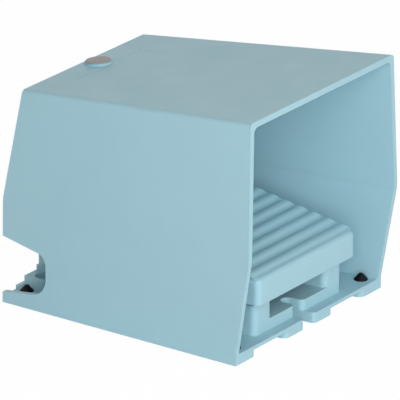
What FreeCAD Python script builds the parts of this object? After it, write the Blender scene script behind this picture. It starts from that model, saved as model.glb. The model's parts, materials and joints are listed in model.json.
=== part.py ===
import FreeCAD
import Part
import Sketcher
import math
import os

# Industrial foot switch with a cast guard hood.
# Frame: +Z up, the foot goes in from -Y, X is the width.
# The origin is on the ground under the middle of the hood's length and width.

doc = FreeCAD.newDocument("foot_switch")
sheet = doc.addObject("Spreadsheet::Sheet", "Sizes")
UP = FreeCAD.Vector(0, 0, 1)


# Sizes that remember their formula


class Dim:
    """A length in millimetres together with the formula that gives it from the sheet."""

    def __init__(self, value, formula):
        self.value = float(value)
        self.formula = formula

    def __add__(self, other):
        other = dim(other)
        return Dim(self.value + other.value, "(%s + %s)" % (self.formula, other.formula))

    def __sub__(self, other):
        other = dim(other)
        return Dim(self.value - other.value, "(%s - %s)" % (self.formula, other.formula))

    def __mul__(self, other):
        other = dim(other)
        return Dim(self.value * other.value, "(%s * %s)" % (self.formula, other.formula))

    def __truediv__(self, other):
        other = dim(other)
        return Dim(self.value / other.value, "(%s / %s)" % (self.formula, other.formula))

    def __radd__(self, other):
        return dim(other) + self

    def __rsub__(self, other):
        return dim(other) - self

    def __rmul__(self, other):
        return dim(other) * self

    def __neg__(self):
        return Dim(-self.value, "(0 - %s)" % self.formula)


def dim(number):
    if isinstance(number, Dim):
        return number
    return Dim(number, "(%r)" % float(number))


def size(alias, value, meaning):
    """Write one driving dimension to the sheet and hand it back."""
    size.row += 1
    sheet.set("A%d" % size.row, meaning)
    sheet.set("B%d" % size.row, repr(value))
    sheet.setAlias("B%d" % size.row, alias)
    return Dim(value, "Sizes." + alias)


size.row = 0


# Driving dimensions of the guard hood

side_room = size("side_room", 28.0, "from the pedal to the widest line of the hood on each side")
rear_room = size("rear_room", 5.6, "from the base to the rear foot of the hood")
hood_rise = size("hood_rise", 147.0, "front lip above the hood's lowest edge")
hood_wall = size("hood_wall", 3.6, "cast wall of the hood")
side_taper = size("side_taper", 0.08, "narrowing of each side per millimetre towards the rear")
side_lean = size("side_lean", 0.0432, "inward lean of each upper side per millimetre of height")
foot_inset = size("foot_inset", 0.9, "how far each side draws in from bulge to lowest edge")
roof_fall = size("roof_fall", 0.0814, "fall of the roof per millimetre towards the rear")
bulge_rise = size("bulge_rise", 65.0, "height of the widest line above the lowest edge")
bulge_round = size("bulge_round", 50.0, "rounding of the outline at the widest line")
lip_top_back = size("lip_top_back", 1.2, "set-back of the front lip at the roof")
lip_foot_back = size("lip_foot_back", 9.7, "set-back of the front lip at the foot")
lip_foot_rise = size("lip_foot_rise", 7.4, "height of the upright stretch of the front lip")
rear_top_in = size("rear_top_in", 14.9, "rear edge of the roof ahead of the rear foot")
rear_bulge_in = size("rear_bulge_in", 1.8, "rear of the widest line ahead of the rear foot")
roof_round = size("roof_round", 2.5, "outer rounding along the roof's side edges")
inner_round = size("inner_round", 4.0, "rounding inside the roof's side edges")
floor_level = size("floor_level", 6.5, "top of the hood's floor above its lowest edge")
floor_sheet = size("floor_sheet", 2.3, "thickness of the hood's floor between its pads")
pad_width = size("pad_width", 21.3, "width of a corner pad under the floor")
pad_depth = size("pad_depth", 24.0, "length of a corner pad under the floor")
pad_round = size("pad_round", 4.0, "corner rounding of the pads")
slot_width = size("slot_width", 10.8, "open slot in the front edge of the floor")
slot_reach = size("slot_reach", 18.0, "depth of that slot from the floor's edge")
slot_mouth = size("slot_mouth", 2.6, "rounding of that slot's mouth")
slot_pad_arm = size("slot_pad_arm", 20.2, "width of each pad arm beside the slot")
slot_pad_end = size("slot_pad_end", 8.0, "pad behind the end of the slot")
notch_rise = size("notch_rise", 42.0, "top of the rear cable opening at its rear end")
notch_slope = size("notch_slope", 0.2, "fall of the opening's top edge towards the front")
notch_reach = size("notch_reach", 33.0, "how far the cable opening reaches forward")
notch_sill = size("notch_sill", 6.5, "lower edge of the cable opening at its rear end")
notch_sill_slope = size("notch_sill_slope", 0.135, "rise of that lower edge towards the front")
dip_width = size("dip_width", 66.0, "width of the shallow dip in the roof")
dip_length = size("dip_length", 28.0, "length of the dip in the roof")
dip_depth = size("dip_depth", 0.25, "depth of the dip at its rear edge")
dip_back = size("dip_back", 31.5, "rear edge of the dip ahead of the rear foot line")
corner_cut_in = size("corner_cut_in", 13.6, "inner side of the floor's lowered rear corners")
corner_cut_flat = size("corner_cut_flat", 5.5, "level part of these lowered corners")
corner_cut_reach = size("corner_cut_reach", 6.0, "length of these lowered corners")
corner_cut_deep = size("corner_cut_deep", 2.5, "depth of these lowered corners")

# Feet and roof cap

foot_drop = size("foot_drop", 2.0, "rubber foot below the hood's lowest edge")
foot_radius = size("foot_radius", 5.8, "rubber foot")
foot_stem = size("foot_stem", 2.6, "stem of a rubber foot")
foot_cone = size("foot_cone", 4.2, "widest radius of the barbed head of a foot")
foot_cone_rise = size("foot_cone_rise", 4.1, "height of that head above the floor")
foot_front_in = size("foot_front_in", 9.1, "front foot in from the side of the hood")
foot_front_back = size("foot_front_back", 17.5, "front foot from the foremost point")
foot_rear_in = size("foot_rear_in", 9.3, "rear foot in from the side of the hood")
foot_rear_back = size("foot_rear_back", 11.6, "rear foot ahead of the rear foot line")
cap_radius = size("cap_radius", 7.7, "round cap on the roof")
cap_thick = size("cap_thick", 0.9, "round cap on the roof")
cap_back = size("cap_back", 25.0, "centre of the cap ahead of the rear foot line")
cap_stem = size("cap_stem", 3.0, "stem of the cap")
cap_boss = size("cap_boss", 8.1, "round boss under the cap")
cap_boss_rise = size("cap_boss_rise", 1.3, "round boss under the cap")

# Switch base

base_width = size("base_width", 93.4, "main part of the switch base")
base_front = size("base_front", 17.0, "front of the base behind the foremost point")
base_main = size("base_main", 133.0, "length of the wide part of the base")
base_tail = size("base_tail", 26.4, "length of the narrow rear part of the base")
lid_room = size("lid_room", 2.1, "from a hinge lug to the narrow rear part of the base")
ear_reach = size("ear_reach", 3.8, "a fixing ear beyond the side of the base")
base_slab = size("base_slab", 6.7, "bottom slab of the base")
base_rim = size("base_rim", 30.0, "top rim of the base above the hood's floor")
leg_rise = size("leg_rise", 18.5, "front legs of the base above the hood's floor")
leg_flat = size("leg_flat", 24.0, "level stretch on top of each leg")
base_round = size("base_round", 4.0, "upright front corners of the base")
tail_round = size("tail_round", 4.2, "upright rear corners of the base")
tail_foot = size("tail_foot", 3.0, "sharp-cornered foot of the rear part above the slab")
ear_round = size("ear_round", 0.8, "upright rear corners of the ears")
leg_width = size("leg_width", 18.1, "width of a front leg")
bay_reach = size("bay_reach", 55.0, "depth of the bay from the front of the base")
base_slot_width = size("base_slot_width", 8.6, "open slot in the front edge of the slab")
base_slot_reach = size("base_slot_reach", 12.0, "depth of that slot")
base_slot_mouth = size("base_slot_mouth", 3.4, "rounding of that slot's mouth")
room_front = size("room_front", 63.0, "contact room from the front of the base")
room_wall = size("room_wall", 8.0, "wall beside the contact room")
room_floor = size("room_floor", 3.5, "floor under the contact room")
rear_wall = size("rear_wall", 8.0, "wall that holds the cable entries")
entry_radius = size("entry_radius", 10.0, "M20 cable entry")
entry_spacing = size("entry_spacing", 36.0, "between the two cable entries")
entry_rise = size("entry_rise", 17.0, "cable entries above the hood's floor")
fixing_radius = size("fixing_radius", 3.3, "rear fixing holes")
fixing_sink = size("fixing_sink", 4.4, "sunk seat around a rear fixing hole")
fixing_sink_deep = size("fixing_sink_deep", 3.0, "depth of that seat")
fixing_in = size("fixing_in", 6.2, "rear fixing hole in from the side of its ear")
fixing_back = size("fixing_back", 9.0, "fixing holes ahead of the rear end of the base")

# Hinge

hinge_back = size("hinge_back", 140.0, "hinge axis behind the foremost point")
hinge_rise = size("hinge_rise", 33.5, "hinge axis above the hood's floor")
hinge_pin = size("hinge_pin", 4.0, "radius of a hinge pin")
hinge_play = size("hinge_play", 0.05, "radial running clearance of a hinge pin")
bush_wall = size("bush_wall", 1.3, "wall of a hinge bush")
bush_flange = size("bush_flange", 0.8, "flange of a hinge bush")
lug_radius = size("lug_radius", 8.0, "hinge lugs of base and pedal")
lug_thick = size("lug_thick", 6.6, "thickness of a base hinge lug")
lug_gap = size("lug_gap", 0.4, "side play between base lug and pedal lug")
clip_thick = size("clip_thick", 0.8, "retaining ring")
clip_radius = size("clip_radius", 6.0, "retaining ring")

# Pedal

skirt_room = size("skirt_room", 2.1, "from the base to the inside of the pedal's skirt")
pedal_front = size("pedal_front", 11.0, "front of the pedal behind the foremost point")
pedal_length = size("pedal_length", 153.0, "length of the pedal")
pedal_wall = size("pedal_wall", 3.2, "cast wall of the pedal")
pedal_nose = size("pedal_nose", 38.0, "top of the pedal's front above the hood's floor")
pedal_slope = size("pedal_slope", 0.189, "rise of the tread per millimetre towards the rear")
tread_length = size("tread_length", 107.0, "sloping part of the pedal's top")
skirt_front = size("skirt_front", 21.5, "front skirt's lower edge above the hood's floor")
skirt_rear = size("skirt_rear", 17.5, "skirt's lower edge at the rear end")
pedal_corner = size("pedal_corner", 4.0, "upright corners of the pedal")
pedal_edge = size("pedal_edge", 3.5, "rounding over the pedal's front edge")
rib_pitch = size("rib_pitch", 9.95, "from rib to rib along the tread")
rib_width = size("rib_width", 7.6, "foot of a rib")
rib_rise = size("rib_rise", 1.1, "height of a rib")
rib_first = size("rib_first", 8.2, "first rib from the front of the pedal")
rib_crown = size("rib_crown", 2.6, "width of a rib at its crown, before rounding")
rib_foot = size("rib_foot", 1.15, "run-out beside the foot of a rib")
rib_round = size("rib_round", 5.0, "rounding at the foot and crown of a rib")
tread_round = size("tread_round", 1.8, "rounding along the tread's two sides")
gate_room = size("gate_room", 3.0, "free width beside the base in the pedal's rear end")
tail_gate_rise = size("tail_gate_rise", 40.0, "top of that opening above the hood's floor")
RIB_COUNT = 10

# Contact room and its pieces

gasket_thick = size("gasket_thick", 1.2, "gasket under the lid")
lid_thick = size("lid_thick", 3.0, "lid of the contact room")
lid_front = size("lid_front", 59.0, "front edge of the lid from the front of the base")
lid_screw = size("lid_screw", 2.0, "lid screw")
lid_screw_long = size("lid_screw_long", 9.0, "shank of a lid screw below the lid's top")
lid_screw_in = size("lid_screw_in", 5.0, "lid screws in from the ends of the lid")
screw_play = size("screw_play", 0.15, "radial room around a screw's shank")
plunger_back = size("plunger_back", 96.0, "plunger behind the foremost point")
plunger_radius = size("plunger_radius", 3.0, "plunger stem")
plunger_play = size("plunger_play", 0.05, "radial running clearance of the plunger")
plunger_top = size("plunger_top", 44.0, "top of the plunger above the hood's floor")
plunger_head = size("plunger_head", 5.5, "radius of the plunger's head")
plunger_head_thick = size("plunger_head_thick", 2.2, "plunger's head")
collar_radius = size("collar_radius", 5.0, "guide collar on the lid")
collar_rise = size("collar_rise", 2.4, "guide collar above the lid")
boot_radius = size("boot_radius", 7.6, "widest fold of the bellows")
boot_neck = size("boot_neck", 6.4, "narrowest fold of the bellows")
boot_wall = size("boot_wall", 0.9, "wall of the bellows")
block_share = size("block_share", 0.5666666666666667, "width of the contact block as a share of the room")
block_length = size("block_length", 28.0, "contact block")
block_rise = size("block_rise", 24.0, "contact block")
block_wall = size("block_wall", 2.5, "wall of the contact block")
carrier_rise = size("carrier_rise", 7.0, "contact carrier")
carrier_gap = size("carrier_gap", 4.5, "free space beside the contact carrier")
carrier_length = size("carrier_length", 17.0, "contact carrier")
carrier_drop = size("carrier_drop", 1.0, "carrier below the block's ceiling at rest")
contact_strip = size("contact_strip", 0.8, "thickness of the contact strips")
contact_width = size("contact_width", 5.0, "width of the contact strips")
contact_row = size("contact_row", 12.0, "between the two rows of contacts")
contact_rise = size("contact_rise", 6.9, "fixed contacts above the floor of the room")
contact_share = size("contact_share", 0.1, "fixed contacts outside the block as a share of the room")
clamp_share = size("clamp_share", 0.21666666666666667, "radius of a terminal screw as a share of that")
clamp_head_share = size("clamp_head_share", 0.4, "head of a terminal screw as a share of that")
clamp_rise = size("clamp_rise", 2.0, "head of a terminal screw")
clamp_slot = size("clamp_slot", 0.8, "driver slot in a terminal screw")
case_screw = size("case_screw", 1.5, "screws of the contact block and the earth terminal")
lug_share = size("lug_share", 0.13333333333333333, "fixing lug beside the block as a share of the room")
case_lug_thick = size("case_lug_thick", 3.0, "fixing lugs beside the contact block")
case_bite = size("case_bite", 2.5, "screws of the contact block in the floor of the room")
case_head_rise = size("case_head_rise", 2.4, "head of these screws")
earth_screw_long = size("earth_screw_long", 5.0, "shank of the earth screw")
earth_rise = size("earth_rise", 5.0, "earth boss on the floor of the contact room")
earth_in = size("earth_in", 8.0, "earth boss in from the side of the contact room")
earth_ahead = size("earth_ahead", 14.0, "earth boss ahead of the rear wall")
saddle_width = size("saddle_width", 6.4, "earth saddle")
saddle_thick = size("saddle_thick", 1.0, "earth saddle")
seat_gap = size("seat_gap", 0.3, "gap between pieces that touch at work")
lift_radius = size("lift_radius", 2.4, "mean radius of the contact spring")
lift_wire = size("lift_wire", 0.35, "radius of the contact spring's wire")
lift_turns = size("lift_turns", 7.0, "turns of the contact spring")
lift_well = size("lift_well", 2.5, "depth of the spring's well in the carrier")

# Return spring and stops

spring_back = size("spring_back", 56.0, "return spring behind the foremost point")
spring_radius = size("spring_radius", 8.5, "mean radius of the return spring")
spring_wire = size("spring_wire", 0.95, "radius of the return spring's wire")
spring_turns = size("spring_turns", 5.5, "turns of the return spring")
spring_cup = size("spring_cup", 11.5, "spring seat")
spring_cup_thick = size("spring_cup_thick", 2.5, "spring seat")
spring_spigot = size("spring_spigot", 6.8, "spigot inside the return spring")
spigot_rise = size("spigot_rise", 6.5, "height of that spigot")
spring_boss_rise = size("spring_boss_rise", 36.5, "lower face of the pedal's spring boss")
striker_boss_rise = size("striker_boss_rise", 47.0, "lower face of the pedal's striker boss")
striker_radius = size("striker_radius", 2.5, "striker screw")
striker_boss = size("striker_boss", 6.0, "half width of the striker boss")
nut_rise = size("nut_rise", 1.8, "lock nut of the striker screw")
buffer_radius = size("buffer_radius", 5.0, "rubber stop on a leg")
buffer_rise = size("buffer_rise", 4.7, "rubber stop on a leg")
buffer_back = size("buffer_back", 29.0, "rubber stops behind the foremost point")
buffer_in = size("buffer_in", 9.2, "rubber stop in from the side of the base")

# Screws under the floor

base_screw = size("base_screw", 2.5, "screws that hold the base to the hood's floor")
base_screw_head = size("base_screw_head", 4.5, "head of such a screw")
base_screw_head_rise = size("base_screw_head_rise", 2.8, "head of such a screw")
base_screw_in = size("base_screw_in", 10.7, "these screws in from the side of the base")
base_screw_y = size("base_screw_y", 90.0, "between these screws along the length")
base_screw_back = size("base_screw_back", 42.0, "front pair behind the foremost point")

doc.recompute()

# Sizes that follow from others

pedal_width = base_width + (pedal_wall + skirt_room) * 2
hood_width = pedal_width + side_room * 2
hood_depth = base_front + base_main + base_tail + rear_room
tail_width = base_width - (lug_thick + lid_room) * 2
ear_width = base_width + ear_reach * 2
fixing_spacing = ear_width - fixing_in * 2
bay_width = base_width - leg_width * 2
room_width = tail_width - room_wall * 2
tail_gate_width = tail_width + gate_room * 2
buffer_spacing = base_width - buffer_in * 2
base_screw_x = base_width - base_screw_in * 2
block_width = room_width * block_share
case_lug = room_width * lug_share
contact_out = room_width * contact_share
clamp_radius = contact_out * clamp_share
clamp_head = contact_out * clamp_head_share
carrier_width = block_width - (block_wall + carrier_gap) * 2

# Lines and levels that several pieces share

front = -hood_depth / 2
rear = hood_depth / 2
under = foot_drop
floor_top = under + floor_level
floor_under = floor_top - floor_sheet
bulge_z = under + bulge_rise
base_y = front + base_front
base_end_y = base_y + base_main + base_tail
base_neck_y = base_y + base_main
slab_top = floor_top + base_slab
rim_z = floor_top + base_rim
leg_z = floor_top + leg_rise
hinge_y = front + hinge_back
hinge_z = floor_top + hinge_rise
pedal_y = front + pedal_front
pedal_end_y = pedal_y + pedal_length
lid_under = rim_z + gasket_thick
lid_top = lid_under + lid_thick
plunger_y = front + plunger_back
room_y = base_y + room_front
room_end_y = base_end_y - rear_wall
room_z = floor_top + room_floor
lid_y = base_y + lid_front


def roof_at(back):
    """Height of the hood's roof at a distance behind the foremost point."""
    return under + hood_rise - roof_fall * (back - lip_top_back)


def side_at(back):
    """Half width of the hood's widest line at that distance."""
    return hood_width / 2 - side_taper * back


# Building helpers


def bind(thing, name, length):
    thing.setExpression(name, dim(length).formula)


def body(label):
    made = doc.addObject("PartDesign::Body", label)
    made.Label = label
    return made


def plane_of(owner, role):
    for feature in owner.Origin.OriginFeatures:
        if feature.Role == role:
            return feature
    raise ValueError(role)


def sketch(owner, name, role, offset=0):
    """An empty sketch on one of the body's planes, moved along the plane's normal."""
    made = owner.newObject("Sketcher::SketchObject", name)
    made.AttachmentSupport = [(plane_of(owner, role), "")]
    made.MapMode = "FlatFace"
    bind(made, "AttachmentOffset.Base.z", offset)
    return made


def tilted(owner, name, role, axis, slope, spot):
    """A sketch turned about one of its own axes by the angle of a slope, with its origin at a spot."""
    made = sketch(owner, name, role)
    angle = math.degrees(math.atan(slope.value))
    made.AttachmentOffset = FreeCAD.Placement(FreeCAD.Vector(), FreeCAD.Rotation(FreeCAD.Vector(*axis), angle))
    for letter, length in zip("xyz", spot):
        bind(made, "AttachmentOffset.Base." + letter, length)
    made.setExpression("AttachmentOffset.Rotation.Angle", "atan(%s)" % slope.formula)
    return made


def fix(made, kind, first, second, length):
    """Hold a point of the sketch at a bound distance from the sketch's origin."""
    index = made.addConstraint(Sketcher.Constraint(kind, -1, 1, first, second, dim(length).value))
    bind(made, "Constraints[%d]" % index, length)


def toward(start, end, reach):
    span = (end - start).Length
    return start + (end - start) * (reach / span)


def outline(made, corners):
    """Draw a closed outline; a corner is (across, up) or (across, up, rounding radius)."""
    spots = [FreeCAD.Vector(dim(c[0]).value, dim(c[1]).value, 0) for c in corners]
    count = len(corners)
    leave = []
    arrive = []
    arcs = []
    for i in range(count):
        before = spots[i - 1]
        here = spots[i]
        after = spots[(i + 1) % count]
        if len(corners[i]) == 2:
            arrive.append(here)
            leave.append(here)
            arcs.append(None)
            continue
        radius = dim(corners[i][2]).value
        one = (before - here).normalize()
        two = (after - here).normalize()
        half = math.acos(max(-1.0, min(1.0, one.dot(two)))) / 2
        reach = radius / math.tan(half)
        start = here + one * reach
        end = here + two * reach
        middle = here + (one + two).normalize() * (radius / math.sin(half) - radius)
        arrive.append(start)
        leave.append(end)
        arcs.append(Part.Arc(start, middle, end))
    lines = []
    for i in range(count):
        segment = Part.LineSegment(leave[i], arrive[(i + 1) % count])
        lines.append(made.addGeometry(segment, False))
    for i in range(count):
        into = lines[i - 1]
        out = lines[i]
        if arcs[i] is None:
            made.addConstraint(Sketcher.Constraint("Coincident", into, 2, out, 1))
            fix(made, "DistanceX", out, 1, corners[i][0])
            fix(made, "DistanceY", out, 1, corners[i][1])
            continue
        arc = made.addGeometry(arcs[i], False)
        turns_left = (spots[i] - spots[i - 1]).cross(spots[(i + 1) % count] - spots[i]).z > 0
        first, last = (1, 2) if turns_left else (2, 1)
        made.addConstraint(Sketcher.Constraint("Tangent", into, 2, arc, first))
        made.addConstraint(Sketcher.Constraint("Tangent", arc, last, out, 1))
        index = made.addConstraint(Sketcher.Constraint("Radius", arc, dim(corners[i][2]).value))
        bind(made, "Constraints[%d]" % index, corners[i][2])
        tip = made.addGeometry(Part.Point(spots[i]), True)
        made.addConstraint(Sketcher.Constraint("PointOnObject", tip, 1, into))
        made.addConstraint(Sketcher.Constraint("PointOnObject", tip, 1, out))
        fix(made, "DistanceX", tip, 1, corners[i][0])
        fix(made, "DistanceY", tip, 1, corners[i][1])
    return made


def ring(made, across, up, radius):
    """Draw a circle at a bound place."""
    centre = FreeCAD.Vector(dim(across).value, dim(up).value, 0)
    circle = made.addGeometry(Part.Circle(centre, UP, dim(radius).value), False)
    index = made.addConstraint(Sketcher.Constraint("Radius", circle, dim(radius).value))
    bind(made, "Constraints[%d]" % index, radius)
    fix(made, "DistanceX", circle, 3, across)
    fix(made, "DistanceY", circle, 3, up)
    return made


def box_outline(made, low_x, low_y, high_x, high_y, radius=None):
    corners = [(low_x, low_y), (high_x, low_y), (high_x, high_y), (low_x, high_y)]
    if radius is not None:
        corners = [corner + (radius,) for corner in corners]
    return outline(made, corners)


def feature(owner, kind, name, profile, length=None, both=False, flip=False):
    """A pad or pocket; without a length it goes through everything."""
    doc.recompute()
    made = owner.newObject("PartDesign::" + kind, name)
    made.Profile = profile
    made.Refine = True
    if both:
        made.SideType = "Symmetric"
    made.Reversed = flip
    if length is None:
        made.Type = "ThroughAll"
    else:
        bind(made, "Length", length)
    before = owner.Shape.Volume if not owner.Shape.isNull() else 0.0
    doc.recompute()
    changed = made.Shape.Volume - before
    if (kind == "Pocket") == (changed > -1e-6):
        raise ValueError("%s changed the volume by %.3f" % (name, changed))
    return made


def edges_where(shape, test):
    names = []
    for i, edge in enumerate(shape.Edges):
        if test(edge):
            names.append("Edge%d" % (i + 1))
    if not names:
        raise ValueError("no such edge")
    return names


def upright_at(spots, reach=0.05):
    """A test for upright edges that stand at given places in plan."""
    places = [(dim(x).value, dim(y).value) for x, y in spots]

    def test(edge):
        low = edge.BoundBox
        if low.ZLength < 1 or low.XLength > reach or low.YLength > reach:
            return False
        return any(abs(low.Center.x - x) < reach and abs(low.Center.y - y) < reach for x, y in places)

    return test


def fillet(owner, name, base, test, radius):
    doc.recompute()
    made = owner.newObject("PartDesign::Fillet", name)
    made.Base = (base, edges_where(base.Shape, test))
    bind(made, "Radius", radius)
    doc.recompute()
    return made


# Turned and boxed pieces from Part primitives

TURNS = {
    "z": FreeCAD.Rotation(),
    "-z": FreeCAD.Rotation(FreeCAD.Vector(1, 0, 0), 180),
    "y": FreeCAD.Rotation(FreeCAD.Vector(1, 0, 0), -90),
    "x": FreeCAD.Rotation(FreeCAD.Vector(0, 1, 0), 90),
    "-x": FreeCAD.Rotation(FreeCAD.Vector(0, 1, 0), -90),
}
STEPS = {"z": (0, 0, 1), "-z": (0, 0, -1), "y": (0, 1, 0), "x": (1, 0, 0), "-x": (-1, 0, 0)}


def place(thing, spot, axis="z", along=0):
    """Put a primitive at a bound spot, moved along the axis that it is turned to."""
    thing.Placement = FreeCAD.Placement(FreeCAD.Vector(), TURNS[axis])
    for letter, part_of, step in zip("xyz", spot, STEPS[axis]):
        bind(thing, "Placement.Base." + letter, dim(part_of) + dim(along) * step)
    return thing


def rod(name, spot, radius, length, axis="z", along=0):
    made = doc.addObject("Part::Cylinder", name)
    bind(made, "Radius", radius)
    bind(made, "Height", length)
    return place(made, spot, axis, along)


def cone(name, spot, low, high, length, axis="z", along=0):
    made = doc.addObject("Part::Cone", name)
    bind(made, "Radius1", low)
    bind(made, "Radius2", high)
    bind(made, "Height", length)
    return place(made, spot, axis, along)


def block(name, low, lengths):
    made = doc.addObject("Part::Box", name)
    for prop, length in zip(("Length", "Width", "Height"), lengths):
        bind(made, prop, length)
    return place(made, low)


def joined(label, pieces):
    made = doc.addObject("Part::MultiFuse", label)
    made.Shapes = pieces
    made.Refine = True
    made.Label = label
    return made


def carved(label, base, tools):
    tool = tools[0] if len(tools) == 1 else joined(label + "_tools", tools)
    made = doc.addObject("Part::Cut", label)
    made.Base = base
    made.Tool = tool
    made.Refine = True
    made.Label = label
    return made


def group(label, pieces):
    """Separate solids that share one node."""
    made = doc.addObject("Part::Compound", label)
    made.Links = pieces
    made.Label = label
    return made


def stack(name, spot, rings, axis="z"):
    """Coaxial steps, each (radius at start, radius at end, length)."""
    along = dim(0)
    pieces = []
    for i, (low, high, length) in enumerate(rings):
        label = "%s_step_%d" % (name, i + 1)
        if low is high:
            pieces.append(rod(label, spot, low, length, axis, along))
        else:
            pieces.append(cone(label, spot, low, high, length, axis, along))
        along = along + length
    return joined(name, pieces)


def hex_tool(name, spot, radius, length, axis="z", along=0):
    made = doc.addObject("Part::Prism", name)
    made.Polygon = 6
    bind(made, "Circumradius", radius)
    bind(made, "Height", length)
    return place(made, spot, axis, along)


def socket_screw(name, spot, shank, long, head, head_rise, axis):
    """Cap screw whose axis points from the tip to the head; spot is under the head."""
    solid = joined(name + "_blank", [
        rod(name + "_shank", spot, shank, long, axis, -long),
        rod(name + "_head", spot, head, head_rise, axis),
    ])
    key = hex_tool(name + "_key", spot, head * 0.5, head_rise, axis, head_rise * 0.45)
    return carved(name, solid, [key])


def coil(label, spot, radius, wire, low, high, turns):
    """Helical spring whose wire stays between two levels."""
    helix = doc.addObject("Part::Helix", label + "_path")
    height = high - low - wire * 2
    bind(helix, "Radius", radius)
    bind(helix, "Height", height)
    bind(helix, "Pitch", height / turns)
    helix.Placement = FreeCAD.Placement()
    for letter, length in zip("xyz", (spot[0], spot[1], low + wire)):
        bind(helix, "Placement.Base." + letter, length)
    circle = doc.addObject("Part::Circle", label + "_section")
    bind(circle, "Radius", wire)
    circle.Placement = FreeCAD.Placement(FreeCAD.Vector(), FreeCAD.Rotation(FreeCAD.Vector(1, 0, 0), 90))
    for letter, length in zip("xyz", (spot[0] + radius, spot[1], low + wire)):
        bind(circle, "Placement.Base." + letter, length)
    made = doc.addObject("Part::Sweep", label)
    made.Sections = [circle]
    made.Spine = (helix, [])
    made.Solid = True
    made.Frenet = True
    made.Label = label
    return made


NODES = []


def keep(made):
    NODES.append(made)
    return made


MARGIN = 6


# Guard hood: a funnel that widens towards the foot, cast in one with its floor


def hood_section(owner, name, back, wall, bulge_radius, roof_radius):
    """Cross-section of the funnel at a distance behind the foremost point."""
    half = side_at(back) - wall
    roof = roof_at(back) - wall
    lean = side_lean * (roof_at(back) - bulge_z)
    low = half - foot_inset
    return outline(sketch(owner, name, "XZ_Plane", -(front + back)), [
        (-low, under),
        (low, under),
        (half, bulge_z, bulge_radius),
        (half - lean, roof, roof_radius),
        (lean - half, roof, roof_radius),
        (-half, bulge_z, bulge_radius),
    ])


def trim_outside(owner, name, corners, far_low, far_high):
    """Cut away all that lies outside a side view of the piece."""
    made = sketch(owner, name + "_view", "YZ_Plane")
    box_outline(made, front - far_low, under - MARGIN * 4, rear + far_high, under + hood_rise + MARGIN * 4)
    outline(made, corners)
    return feature(owner, "Pocket", name, made, both=True)


def hood_shell(owner, name, wall, bulge_radius, roof_radius):
    ends = (dim(-MARGIN), hood_depth + MARGIN)
    parts = []
    for i, back in enumerate(ends):
        parts.append(hood_section(owner, "%s_section_%d" % (name, i), back, wall, bulge_radius, roof_radius))
    doc.recompute()
    made = owner.newObject("PartDesign::AdditiveLoft", name)
    made.Profile = parts[0]
    made.Sections = parts[1:]
    made.Ruled = True
    doc.recompute()
    return made


core = body("hood_core")
hood_shell(core, "core_funnel", hood_wall, bulge_round, inner_round)
above = under + hood_rise + MARGIN
rear_lean = (rear_top_in - rear_bulge_in) / (roof_at(hood_depth) - bulge_z)
rear_top_y = rear - rear_bulge_in - rear_lean * (above - bulge_z)
trim_outside(core, "core_side", [
    (front - MARGIN * 2, floor_top),
    (rear - hood_wall, floor_top),
    (rear - rear_bulge_in - hood_wall, bulge_z, bulge_round),
    (rear_top_y - hood_wall, above),
    (front - MARGIN * 2, above),
], MARGIN * 3, MARGIN * 3)

hood = body("guard_hood")
hood_shell(hood, "hood_funnel", dim(0), bulge_round, roof_round)
lip_lean = lip_top_back / (roof_at(lip_top_back) - bulge_z)
trim_outside(hood, "hood_side", [
    (front + lip_foot_back, under - MARGIN),
    (front + lip_foot_back, under + lip_foot_rise),
    (front, bulge_z, bulge_round),
    (front + lip_lean * (above - bulge_z), above),
    (rear_top_y, above),
    (rear - rear_bulge_in, bulge_z, bulge_round),
    (rear, under),
    (rear, under - MARGIN),
], MARGIN * 3, MARGIN * 3)
hollow = hood.newObject("PartDesign::Boolean", "hood_hollow")
hollow.setObjects([core])
hollow.Type = "Cut"
doc.recompute()

# Underside of the floor: a recess that leaves the walls standing, then pads for feet and slot


def wall_inside(back):
    """Half width between the side walls at floor level."""
    return side_at(back) - foot_inset - hood_wall


recess_back = hood_depth - hood_wall
under_view = sketch(hood, "underside_view", "XY_Plane", under - MARGIN)
outline(under_view, [
    (-wall_inside(dim(-MARGIN)), front - MARGIN),
    (wall_inside(dim(-MARGIN)), front - MARGIN),
    (wall_inside(recess_back), front + recess_back),
    (-wall_inside(recess_back), front + recess_back),
])
feature(hood, "Pocket", "underside", under_view, floor_level - floor_sheet + MARGIN, flip=True)

lip_y = front + lip_foot_back
pad_rise = floor_level - floor_sheet / 2
bite = hood_wall / 2


def pad_outline(owner, name, corners):
    made = outline(sketch(owner, name + "_view", "XY_Plane", under), corners)
    return feature(owner, "Pad", name, made, pad_rise)


for side, word in ((-1, "left"), (1, "right")):
    for end, back_low, back_high in (
        ("front", lip_foot_back, lip_foot_back + pad_depth),
        ("rear", hood_depth - pad_depth, hood_depth - bite),
    ):
        outer_low = (wall_inside(back_low) + bite) * side
        outer_high = (wall_inside(back_high) + bite) * side
        inner_low = (wall_inside(back_low) + hood_wall - pad_width) * side
        inner_high = (wall_inside(back_high) + hood_wall - pad_width) * side
        near = (inner_low, front + back_low) + ((pad_round,) if end == "front" else ())
        far = (inner_high, front + back_high) + ((pad_round,) if end == "front" else ())
        if end == "rear":
            near = near + (pad_round,)
        corners = [(outer_low, front + back_low), near, far, (outer_high, front + back_high)]
        if side > 0:
            corners = corners[::-1]
        pad_outline(hood, "%s_%s_pad" % (word, end), corners)

slot_half = slot_width / 2
pad_half = slot_half + slot_pad_arm
pad_outline(hood, "slot_pad", [
    (-pad_half, lip_y, pad_round),
    (pad_half, lip_y, pad_round),
    (pad_half, lip_y + slot_reach + slot_pad_end, pad_round),
    (-pad_half, lip_y + slot_reach + slot_pad_end, pad_round),
])


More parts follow.
